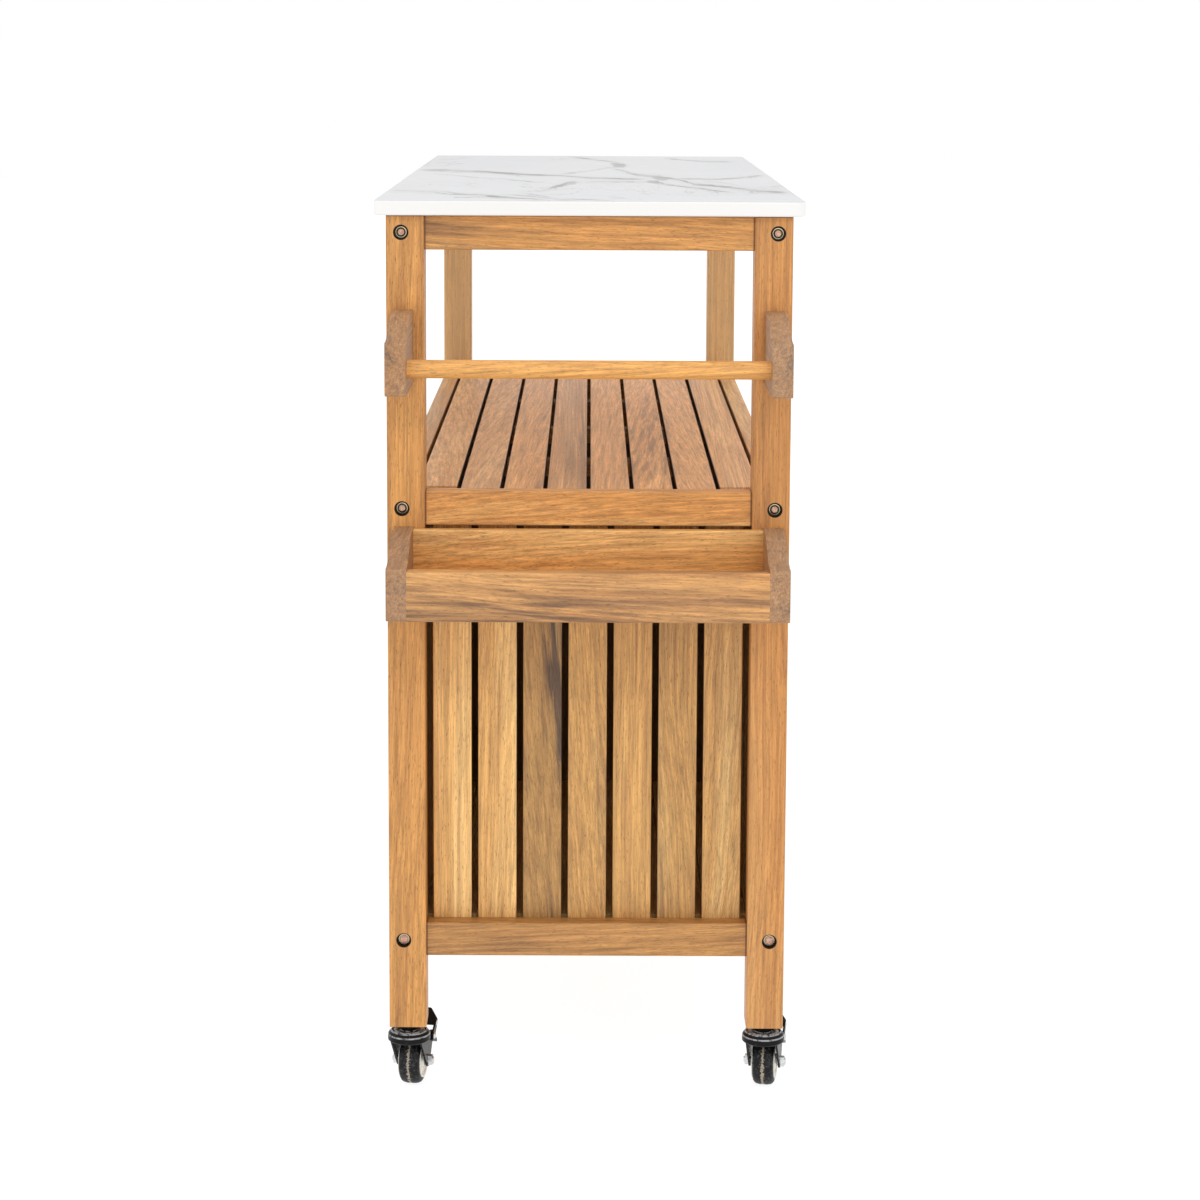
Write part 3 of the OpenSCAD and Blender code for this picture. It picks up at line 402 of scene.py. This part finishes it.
shelf_low, shelf_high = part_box("shelf_slats")
shelf_slats = 8
shelf_pitch = (shelf_high.y - shelf_low.y - slat_w) / (shelf_slats - 1)
half_gap = (shelf_pitch - slat_w) / 2
shelf_woods = (rgb(0.68, 0.373, 0.151), rgb(0.60, 0.299, 0.108),
               rgb(0.38, 0.173, 0.067), rgb(0.14, 0.076, 0.043))
slat_woods = (rgb(0.66, 0.410, 0.155), rgb(0.56, 0.300, 0.092),
              rgb(0.36, 0.165, 0.054), rgb(0.105, 0.058, 0.034))
shelf_start = Vector((outside, shelf_low.y - half_gap, 0.0))
hardwood("shelf_wood", "X", shelf_start, (uncut, shelf_pitch, uncut), shelf_woods, streaks=0.4,
         tint=0.16, fade=0.15, gloss=0.48, tone=1.22, slat_axis=1, stretch=0.35).dress("shelf_slats")

floor_low, floor_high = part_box("base_slats")
floor_slats = 8
floor_gap = 0.0005
floor_pitch = (floor_high.y - floor_low.y + floor_gap) / floor_slats
floor_start = Vector((outside, floor_low.y - floor_gap / 2, 0.0))
# The cabinet floor is painted darker: painted shade inside the cabinet
hardwood("cabinet_floor_wood", "X", floor_start, (uncut, floor_pitch, uncut), tone=0.8).dress("base_slats")

panel_low, panel_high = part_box("end_panel_slats")
panel_slats = 7
panel_pitch = (panel_high.y - panel_low.y - slat_w) / (panel_slats - 1)
panel_start = Vector((middle.x + outside, panel_low.y - (panel_pitch - slat_w) / 2, 0.0))
# The third slat is the dark one with the long streak
panel_boards = ((1.20, 0.08), (1.15, 0.20), (0.72, 1.50), (0.96, 0.75), (1.01, 0.75), (0.86, 0.30),
                (0.97, 0.15))
hardwood("end_panel_wood", "Z", panel_start, (cart_span.x, panel_pitch, uncut), slat_woods, lean=0.15,
         boards=panel_boards, slat_axis=1).dress("end_panel_slats")

back_low, back_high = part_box("back_panel_slats")
back_slats = 23
back_pitch = (back_high.x - back_low.x - slat_w) / (back_slats - 1)
back_start = Vector((back_low.x - (back_pitch - slat_w) / 2, outside, 0.0))
hardwood("back_panel_wood", "Z", back_start, (back_pitch, uncut, uncut), slat_woods, streaks=0.6,
         tint=0.16, slat_axis=0).dress("back_panel_slats")

partition_strip_w = 0.085
# The partition is painted very dark: painted shade inside the cabinet
hardwood("partition_wood", "Z", (outside, outside - 0.045, 0.0), (uncut, partition_strip_w, uncut),
         streaks=0.5, tone=0.25).dress("cabinet_partition")
hardwood("batten_wood", "Y", (outside, outside, 0.0), (0.13, uncut, level_pitch), tint=0.2,
         gloss=0.6).dress("cross_battens")

# Slat screws
# Countersunk zinc screws with a cross recess. They are driven up through the battens into
# each slat, and from inside the cabinet into the back rail; the doors' are put in later on.


def new_tree(name, inputs):
    """A geometry tree with named inputs, given as name and kind of socket."""
    tree = bpy.data.node_groups.new(name, "GeometryNodeTree")
    for label, kind in inputs.items():
        tree.interface.new_socket(label, in_out="INPUT", socket_type="NodeSocket" + kind)
    tree.interface.new_socket("Geometry", in_out="OUTPUT", socket_type="NodeSocketGeometry")
    inlet = tree.nodes.new("NodeGroupInput")
    return tree, {label: Tone(inlet.outputs[label]) for label in inputs}


def close_tree(tree, geometry, material):
    """Ends a tree: the instances made real and given their finish."""
    real = geometry.add("GeometryNodeRealizeInstances", {0: geometry})
    dressed = real.add("GeometryNodeSetMaterial", {"Geometry": real, "Material": material})
    tree.links.new(dressed.socket, tree.nodes.new("NodeGroupOutput").inputs[0])


def grown(name, tree, sizes, place, body, points=()):
    """A plain mesh made by a tree, moved to its place, riding on a body."""
    piece = bpy.data.objects.new(name, bpy.data.meshes.new(name))
    piece.data.from_pydata(points, [], [])
    bpy.context.scene.collection.objects.link(piece)
    modifier = piece.modifiers.new(name, "NODES")
    modifier.node_group = tree
    for item in tree.interface.items_tree:
        if item.in_out == "INPUT" and item.name in sizes:
            modifier[item.identifier] = sizes[item.name]
    mesh = bpy.data.meshes.new_from_object(piece.evaluated_get(bpy.context.evaluated_depsgraph_get()))
    piece.modifiers.remove(modifier)
    piece.data = mesh
    mesh.transform(place)
    mesh.shade_smooth()
    mesh.set_sharp_from_angle(angle=math.radians(32))
    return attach(piece, body)


zinc = Finish("bright_zinc", Metallic=1.0)
spangle = zinc.place.add("ShaderNodeTexVoronoi", {"Vector": zinc.place, "Scale": 700.0}, out=0)
zinc.set("Base Color", spangle.step(0.1, 0.8).over(rgb(0.60, 0.62, 0.65), rgb(0.72, 0.72, 0.70)))
zinc.set("Roughness", spangle * 0.22 + 0.24)

screw_tree, size = new_tree("screw_field", {
    "Row length": "Float", "Rows apart": "Float", "Screws in a row": "Int", "Rows": "Int",
    "Clear middle": "Float", "Head width": "Float", "Head height": "Float", "Finish": "Material"})
field = size["Rows"].add("GeometryNodeMeshGrid", {
    "Size X": size["Row length"], "Size Y": size["Rows apart"],
    "Vertices X": size["Screws in a row"], "Vertices Y": size["Rows"]})
head_r = size["Head width"] * 0.5
head = size["Rows"].add("GeometryNodeMeshCone", {
    "Vertices": 16, "Radius Top": head_r * 0.8, "Radius Bottom": head_r, "Depth": size["Head height"]})
blade = size["Rows"].joined(size["Head width"] * 0.62, size["Head width"] * 0.13, size["Head height"])
bar = size["Rows"].add("GeometryNodeMeshCube", {"Size": blade})
up = size["Rows"].joined(0.0, 0.0, size["Head height"] * 0.9)
bar = bar.add("GeometryNodeTransform", {"Geometry": bar, "Translation": up})
crossing = bar.add("GeometryNodeTransform", {"Geometry": bar, "Rotation": (0.0, 0.0, math.pi / 2)})
head = head.add("GeometryNodeMeshBoolean", {"Mesh 1": head, "Mesh 2": [bar, crossing]},
                {"operation": "DIFFERENCE", "solver": "EXACT"})
from_middle = abs(field.add("GeometryNodeInputPosition").parts()[0])
field = field.add("GeometryNodeDeleteGeometry", {
    "Geometry": field, "Selection": field.math("LESS_THAN", from_middle, size["Clear middle"])})
turned = field.add("FunctionNodeRandomValue", {1: (0.0, 0.0, math.pi)}, {"data_type": "FLOAT_VECTOR"})
screws = field.add("GeometryNodeInstanceOnPoints", {"Points": field, "Instance": head, "Rotation": turned})
close_tree(screw_tree, screws, size["Finish"])

UNDER = Matrix.Rotation(math.pi, 4, "X")
INTO_BACK = Matrix.Rotation(math.pi / 2, 4, "X")
INTO_FRONT = Matrix.Rotation(math.pi, 4, "Z") @ Matrix.Rotation(math.pi / 2, 4, "X")
screw_head_w = 0.0065
flush_head_h = 0.0002


def screw_field(name, middle_at, facing, row_length, in_row, rows_apart, rows, body="cart",
                clear=0.0, head_height=0.0006):
    """Rows of screws round a middle point, with a stretch left clear in the middle of each row."""
    sizes = {"Row length": row_length, "Rows apart": rows_apart, "Screws in a row": in_row, "Rows": rows,
             "Clear middle": clear, "Head width": screw_head_w, "Head height": head_height,
             "Finish": zinc.material}
    return grown(name, screw_tree, sizes, Matrix.Translation(middle_at) @ facing, body)


batten_w = 0.030
batten_h = 0.018
battens = 5
low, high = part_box("cross_battens")
batten_run = high.x - low.x - batten_w
for name, slat_node, in_row, pitch, clear in (
        ("shelf_batten_screws", "shelf_slats", shelf_slats, shelf_pitch, batten_w),
        ("floor_batten_screws", "base_slats", floor_slats, floor_pitch, 0.0)):
    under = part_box(slat_node)[0]
    slat_mid_y = (under.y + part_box(slat_node)[1].y) / 2
    screw_field(name, (middle.x, slat_mid_y, under.z - batten_h), UNDER, batten_run, battens,
                pitch * (in_row - 1), in_row, clear=clear)
back_screw_drop = 0.0135
screw_field("back_panel_screws", (middle.x, back_low.y, panel_high.z - back_screw_drop), INTO_BACK,
            back_pitch * (back_slats - 1), back_slats, 0.0, 1)

# Frame bolts and barrel nuts
# Yellow-zinc bolts with a domed head and a hexagon socket, deep in their counterbores, and
# plain zinc barrel nuts. The plating has the rainbow stains of its bath; a dark ring round the
# sockets is painted shade, weaker on the lowest bolts, and a bright ring at the rims is a painted highlight.

plating = Finish("yellow_zinc")
from_axis = plating.place.add("ShaderNodeAttribute", settings={"attribute_name": "from_axis"}, out=2)
stain = plating.place.noise(420.0, 2.0, 0.5, 0.4)
gold = stain.step(0.42, 0.55).over(rgb(0.66, 0.50, 0.31), rgb(0.62, 0.27, 0.22))
# A dark ring round the socket: painted shade, weaker on the lowest bolts
socket_shade = from_axis.step(0.485, 0.53) * plating.place.parts()[2].step(0.3, 0.5, 0.45, 1.0)
with_socket_shade = socket_shade.over(gold, rgb(0.045, 0.032, 0.020))
# A bright ring at the rim: painted highlight
rim_highlight = from_axis.step(0.78, 0.84).over(with_socket_shade, rgb(0.60, 0.52, 0.34))
# The outermost edge is dark again: painted shadow between the head and its counterbore
plating.set("Base Color", from_axis.step(0.90, 0.94).over(rim_highlight, rgb(0.06, 0.04, 0.022)))
plating.set("Metallic", from_axis.step(0.485, 0.53, 0.25, 1.0))
plating.set("Roughness", plating.place.noise(900.0, 2.0) * 0.2 + 0.15)

bolt_tree, size = new_tree("frame_bolt", {
    "Places": "Geometry", "Middle of the cart": "Float", "Head width": "Float", "Head height": "Float",
    "Dome height": "Float", "Socket width": "Float", "Shank width": "Float", "Shank length": "Float",
    "Finish": "Material"})
head_r = size["Head width"] * 0.5
squares = head_r * head_r + size["Dome height"] * size["Dome height"]
dome_r = squares.math("DIVIDE", squares, size["Dome height"] * 2.0)
ball = head_r.add("GeometryNodeMeshUVSphere", {"Segments": 40, "Rings": 36, "Radius": dome_r})
ball = ball.add("GeometryNodeTransform", {
    "Geometry": ball, "Translation": head_r.joined(0.0, 0.0, 0.0 - dome_r)})
blank = head_r.add("GeometryNodeMeshCylinder", {
    "Vertices": 40, "Radius": head_r, "Depth": size["Head height"] * 2.0})
head = ball.add("GeometryNodeMeshBoolean", {"Mesh 2": [ball, blank]},
                {"operation": "INTERSECT", "solver": "EXACT"})
base = head_r.joined(0.0, 0.0, size["Head height"] * -1.5)
below = head_r.add("GeometryNodeMeshCylinder", {
    "Vertices": 40, "Radius": dome_r * 2.0, "Depth": size["Head height"]})
below = below.add("GeometryNodeTransform", {"Geometry": below, "Translation": base})
socket_deep = size["Head height"] * 0.5
hexagon = head_r.add("GeometryNodeMeshCylinder", {
    "Vertices": 6, "Radius": size["Socket width"] * (0.5 / math.cos(math.pi / 6)), "Depth": socket_deep})
head = head.add("GeometryNodeMeshBoolean", {"Mesh 1": head, "Mesh 2": [below, hexagon]},
                {"operation": "DIFFERENCE", "solver": "EXACT"})
shank = head_r.add("GeometryNodeMeshCylinder", {
    "Vertices": 24, "Radius": size["Shank width"] * 0.5, "Depth": size["Shank length"]})
middle_z = size["Head height"] * -1.0 - size["Shank length"] * 0.5
shank = shank.add("GeometryNodeTransform", {
    "Geometry": shank, "Translation": head_r.joined(0.0, 0.0, middle_z)})
bolt = head.add("GeometryNodeJoinGeometry", {"Geometry": [head, shank]})
where = bolt.add("GeometryNodeInputPosition").parts()
squares = where[0] * where[0] + where[1] * where[1]
out_by = squares.math("SQRT", squares)
bolt = bolt.add("GeometryNodeStoreNamedAttribute", {
    "Geometry": bolt, "Name": "from_axis", "Value": out_by.math("DIVIDE", out_by, head_r)})
end = size["Places"].add("GeometryNodeInputPosition").parts()[0] - size["Middle of the cart"]
outwards = end.joined(0.0, end.math("SIGN", end) * (math.pi / 2), 0.0)
bolts = size["Places"].add("GeometryNodeInstanceOnPoints", {
    "Points": size["Places"], "Instance": bolt, "Rotation": outwards})
spin = bolts.add("FunctionNodeRandomValue", {1: (0.0, 0.0, math.pi), "Seed": 4},
                 {"data_type": "FLOAT_VECTOR"})
bolts = bolts.add("GeometryNodeRotateInstances", {"Instances": bolts, "Rotation": spin})
close_tree(bolt_tree, bolts, size["Finish"])

bolt_places = [(x, middle.y + y, z) for x in (bolt_low.x, bolt_high.x)
               for y in (-bolt_off, bolt_off) for z in bolt_levels]
leg_bolts = grown("frame_leg_bolts", bolt_tree, {
    "Middle of the cart": middle.x, "Head width": bolt_head_w, "Head height": 0.004, "Dome height": 0.0006,
    "Socket width": 0.005, "Shank width": 0.006, "Shank length": 0.072, "Finish": plating.material},
    Matrix.Identity(4), "cart", bolt_places)
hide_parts("frame_bolts")

zinc.dress("barrel_nuts", "bracket_screws", "caster_sockets", "hinge_leg_leaves",
           "door_left_leaves", "door_right_leaves")

# Brackets, towel bar and bottle rack
# Sawn brackets of aged, greyish wood, with the grain running out from the leg. The bar is a
# turned dowel. The rack's back and floor are fresh wood, its front board has dark streaks.

aged_woods = (rgb(0.45, 0.228, 0.092), rgb(0.39, 0.190, 0.072),
              rgb(0.25, 0.118, 0.046), rgb(0.12, 0.068, 0.038))
dowel_woods = (rgb(0.70, 0.350, 0.095), rgb(0.64, 0.295, 0.070),
               rgb(0.50, 0.215, 0.050), rgb(0.25, 0.12, 0.05))
streaky_woods = (rgb(0.53, 0.270, 0.092), rgb(0.45, 0.200, 0.062),
                 rgb(0.26, 0.108, 0.038), rgb(0.080, 0.044, 0.030))
one_piece = (uncut, uncut, uncut)
hardwood("bracket_wood", "X", middle - cart_span, (uncut, cart_span.y, 0.65), aged_woods, streaks=0.5,
         tint=0.05, fade=0.25, gloss=0.52, tone=1.03).dress("towel_brackets", "rack_ends")
hardwood("towel_bar_wood", "Y", (outside, outside, 0.0), one_piece, dowel_woods, streaks=0.1,
         tint=0.0).dress("towel_bar")
hardwood("rack_wood", "Y", (outside, outside, 0.0), one_piece, streaks=0.1, tint=0.0,
         tone=1.08).dress("rack_back_board", "rack_floor")
hardwood("rack_front_wood", "Y", (-3.1, -3.2, 0.3), one_piece, streaky_woods, streaks=2.6, tint=0.0,
         tone=1.12, seed=19.0).dress("rack_front_board")

# Doors
# Two framed doors with upright slats behind the frame, a turned wooden knob on each and
# butt hinges in the gap at the legs. The magnetic catches are brown plastic.

hinge_h = 0.050
leg_leaf_offset = 0.0014
door_leaf_offset = 0.0008
screw_from_pin = 0.0125
door_slats = 11
door_rail_w = 0.035

for side in ("left", "right"):
    body = "door_" + side
    stile_start = (middle.x + outside if side == "left" else middle.x, outside, 0.0)
    hardwood(body + "_stile_wood", "Z", stile_start, (0.3, uncut, uncut)).dress(body + "_stiles")
    hardwood(body + "_rail_wood", "X", (outside, outside, 0.0),
             (cart_span.x, uncut, level_pitch)).dress(body + "_rails")
    low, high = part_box(body + "_slats")
    door_pitch = (high.x - low.x - slat_w) / (door_slats - 1)
    slat_start = Vector((low.x - (door_pitch - slat_w) / 2, outside, 0.0))
    hardwood(body + "_slat_wood", "Z", slat_start, (door_pitch, uncut, uncut), slat_woods, streaks=0.6,
             tint=0.16, slat_axis=0).dress(body + "_slats")
    hardwood(body + "_knob_wood", "Y", (outside, outside, 0.0), one_piece,
             aged_woods).dress(body + "_knob")

    # Screws from inside through each slat into the door's rails, and two in each hinge leaf
    door_low, door_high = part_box(body + "_rails")
    screws_mid = ((low.x + high.x) / 2, high.y, (door_low.z + door_high.z) / 2)
    screw_field(body + "_slat_screws", screws_mid, INTO_FRONT, door_pitch * (door_slats - 1), door_slats,
                door_high.z - door_low.z - door_rail_w, 2, body, head_height=flush_head_h)
    hinge = next(j for j in frame["joints"] if j["child"] == body)
    hinge_x, hinge_y = hinge["pos_m"][:2]
    out = 1.0 if side == "right" else -1.0
    leaf_low, leaf_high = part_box(body + "_leaves")
    for level, z in (("low", leaf_low.z + hinge_h / 2), ("high", leaf_high.z - hinge_h / 2)):
        for owner, offset, facing in (("cart", leg_leaf_offset, -out), (body, door_leaf_offset, out)):
            screw_field("%s_hinge_screws_%s_%s" % (owner, side, level),
                        (hinge_x + out * offset, hinge_y + screw_from_pin, z),
                        Matrix.Rotation(facing * math.pi / 2, 4, "Y"), hinge_h / 2, 2, 0.0, 1, owner,
                        head_height=flush_head_h)

catch = Finish("catch_plastic", Base_Color=rgb(0.07, 0.05, 0.04), Roughness=0.5)
catch.relief(catch.place.noise(1500.0, 2.0), 0.2, 0.0002)
catch.dress("door_catches")

# Casters
# Pressed steel forks and pedals in gloss black, a zinc axle with its nut, and wheels of
# off-white nylon with a black rubber tyre that has a tan mould line round its tread.


def gloss_black(name, ridges=()):
    """Gloss black paint with some dust, and painted highlights along the ridges at these heights."""
    black = Finish(name, Specular_IOR_Level=0.07, Coat_Weight=0.08, Coat_Roughness=0.04)
    dust = black.place.noise(220.0, 4.0, 0.65)
    black.set("Roughness", dust * 0.25 + 0.18)
    colour = dust.step(0.55, 0.85).over(rgb(0.007, 0.007, 0.008), rgb(0.04, 0.039, 0.037))
    height = black.place.parts()[2]
    for ridge in ridges:
        # Painted highlights: thin light lines along the ridges
        ridge_highlight = abs(height - ridge).step(0.0010, 0.0004) * dust.step(0.35, 0.55)
        colour = ridge_highlight.over(colour, rgb(0.36, 0.36, 0.37))
    black.set("Base Color", colour)
    black.relief(black.place.noise(500.0, 2.0), 0.06, 0.0004)
    return black


crown_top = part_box("caster_front_right_fork")[1].z
lip_drop = 0.0004
shoulder_drop = 0.0043
crown_black = gloss_black("crown_black", ridges=(crown_top - lip_drop, crown_top - shoulder_drop))
pedal_black = gloss_black("pedal_black")
crown_black.dress("caster_stems")

nylon = Finish("hub_nylon", IOR=1.5)
grime = nylon.place.noise(180.0, 3.0)
nylon.set("Base Color", grime.step(0.4, 0.8).over(rgb(0.78, 0.755, 0.68), rgb(0.62, 0.58, 0.49)))
nylon.set("Roughness", grime * 0.2 + 0.32)

rivet_tree, size = new_tree("rivet_pair", {"Apart": "Float", "Head width": "Float", "Finish": "Material"})
ends = size["Apart"].joined(size["Apart"] * -0.5, 0.0, 0.0)
span = size["Apart"].joined(size["Apart"], 0.0, 0.0)
pair = size["Apart"].add("GeometryNodeMeshLine", {"Count": 2, "Start Location": ends, "Offset": span})
dome = size["Apart"].add("GeometryNodeMeshUVSphere", {
    "Segments": 16, "Rings": 8, "Radius": size["Head width"] * 0.5})
domes = pair.add("GeometryNodeInstanceOnPoints", {
    "Points": pair, "Instance": dome, "Scale": (0.45, 1.0, 1.0)})
close_tree(rivet_tree, domes, size["Finish"])
pedal_width = 0.0372
rivet_head_w = 0.0055
rivet_behind = 0.0125
rivet_above = 0.0095
tyre_shoulder_r = 0.0205
tread_r = 0.0235

for corner in ("front_right", "back_right", "front_left", "back_left"):
    wheel = next(j for j in frame["joints"] if j["child"] == "wheel_" + corner)
    rubber = Finish("tyre_rubber_" + corner, Specular_IOR_Level=0.16)
    from_mid = rubber.place.vector("SUBTRACT", rubber.place, tuple(wheel["pos_m"]))
    off_mid = abs(from_mid.vector("DOT_PRODUCT", from_mid, tuple(wheel["axis"]), out=1))
    radius = from_mid.vector("LENGTH", from_mid, out=1)
    scuff = rubber.place.noise(330.0, 4.0, 0.7).step(0.48, 0.72)
    tread = radius.step(tyre_shoulder_r, tread_r)
    ragged_line = rubber.place.noise(520.0, 3.0, 0.7) - 0.5
    line = (off_mid + ragged_line * 0.009).step(0.0016, 0.0007) * tread
    worn = (scuff * tread * 0.6).over(rgb(0.009, 0.009, 0.010), rgb(0.12, 0.12, 0.122))
    rubber.set("Base Color", (line * 0.8).over(worn, rgb(0.42, 0.36, 0.28)))
    rubber.set("Roughness", scuff * 0.25 + 0.45)
    rubber.relief(rubber.place.noise(700.0, 3.0), 0.25, 0.0004)
    rubber.dress("caster_%s_tyre" % corner)
    crown_black.dress("caster_%s_fork" % corner)
    pedal_black.dress("caster_%s_pedal" % corner)
    zinc.dress("caster_%s_axle" % corner)
    # Rivets that hold the foot plate between the pedal's cheeks
    brake = next(j for j in frame["joints"] if j["child"] == "pedal_" + corner)
    across_wheel = Vector(brake["axis"])
    behind = across_wheel.cross(Vector((0, 0, 1)))
    if behind.dot(Vector(brake["pos_m"]) - Vector(wheel["pos_m"])) < 0:
        behind = -behind
    rivet_at = Vector(brake["pos_m"]) + behind * rivet_behind + Vector((0, 0, rivet_above))
    turn = across_wheel.to_track_quat("X", "Z").to_matrix().to_4x4()
    grown("pedal_rivets_" + corner, rivet_tree,
          {"Apart": pedal_width, "Head width": rivet_head_w, "Finish": zinc.material},
          Matrix.Translation(rivet_at) @ turn, "pedal_" + corner)
    nylon.dress("caster_%s_hub" % corner)

# Floor, light and camera
# A white floor and soft light from all round, with softboxes at the towel bar's end, above and
# in front, and a narrow bright strip above that end. The camera looks along the cart at it.

floor_size = 40.0
bpy.ops.mesh.primitive_plane_add(size=floor_size)
floor = bpy.context.object
floor.name = "studio_floor"
paper = Finish("floor_white", Base_Color=rgb(0.22, 0.22, 0.22), Roughness=1.0,
               Emission_Color=rgb(0.985, 0.99, 1.0), Emission_Strength=0.89)
floor.data.materials.append(paper.material)

world = bpy.data.worlds.new("studio")
world.use_nodes = True
world.node_tree.nodes["Background"].inputs["Color"].default_value = (1.0, 1.0, 1.0, 1.0)
world.node_tree.nodes["Background"].inputs["Strength"].default_value = 1.0
bpy.context.scene.world = world
bpy.context.scene.view_settings.view_transform = "Standard"


def softbox(name, place, aim, size, watts):
    """An oblong light aimed at a point."""
    light = bpy.data.lights.new(name, "AREA")
    light.shape = "RECTANGLE"
    light.size, light.size_y = size
    light.energy = watts
    lamp = bpy.data.objects.new(name, light)
    lamp.location = place
    lamp.rotation_euler = (Vector(aim) - Vector(place)).to_track_quat("-Z", "Y").to_euler()
    bpy.context.scene.collection.objects.link(lamp)


aim_point = (0.0, 0.0, 0.5)
softbox("end_light", (3.6, 0.9, 1.7), aim_point, (2.4, 2.0), 9)
softbox("strip_light", (3.0, 0.4, 2.2), aim_point, (1.3, 0.10), 9)
softbox("top_light", (0.6, 0.0, 3.2), aim_point, (3.0, 2.0), 10)
softbox("front_light", (0.8, -3.4, 1.8), aim_point, (3.0, 2.0), 12)

camera_place = Vector((3.3715, slab_mid.y, 1.074))
lens = bpy.data.cameras.new("photo_view")
lens.sensor_width = 36.0
lens.lens = 85.6
lens.shift_x = 0.008
lens.shift_y = -0.146
pitch_down = math.radians(7.5)
roll = math.radians(-0.25)
camera = bpy.data.objects.new("photo_view", lens)
camera.location = camera_place
camera.rotation_euler = (math.pi / 2 - pitch_down, roll, math.pi / 2)
bpy.context.scene.collection.objects.link(camera)
bpy.context.scene.camera = camera
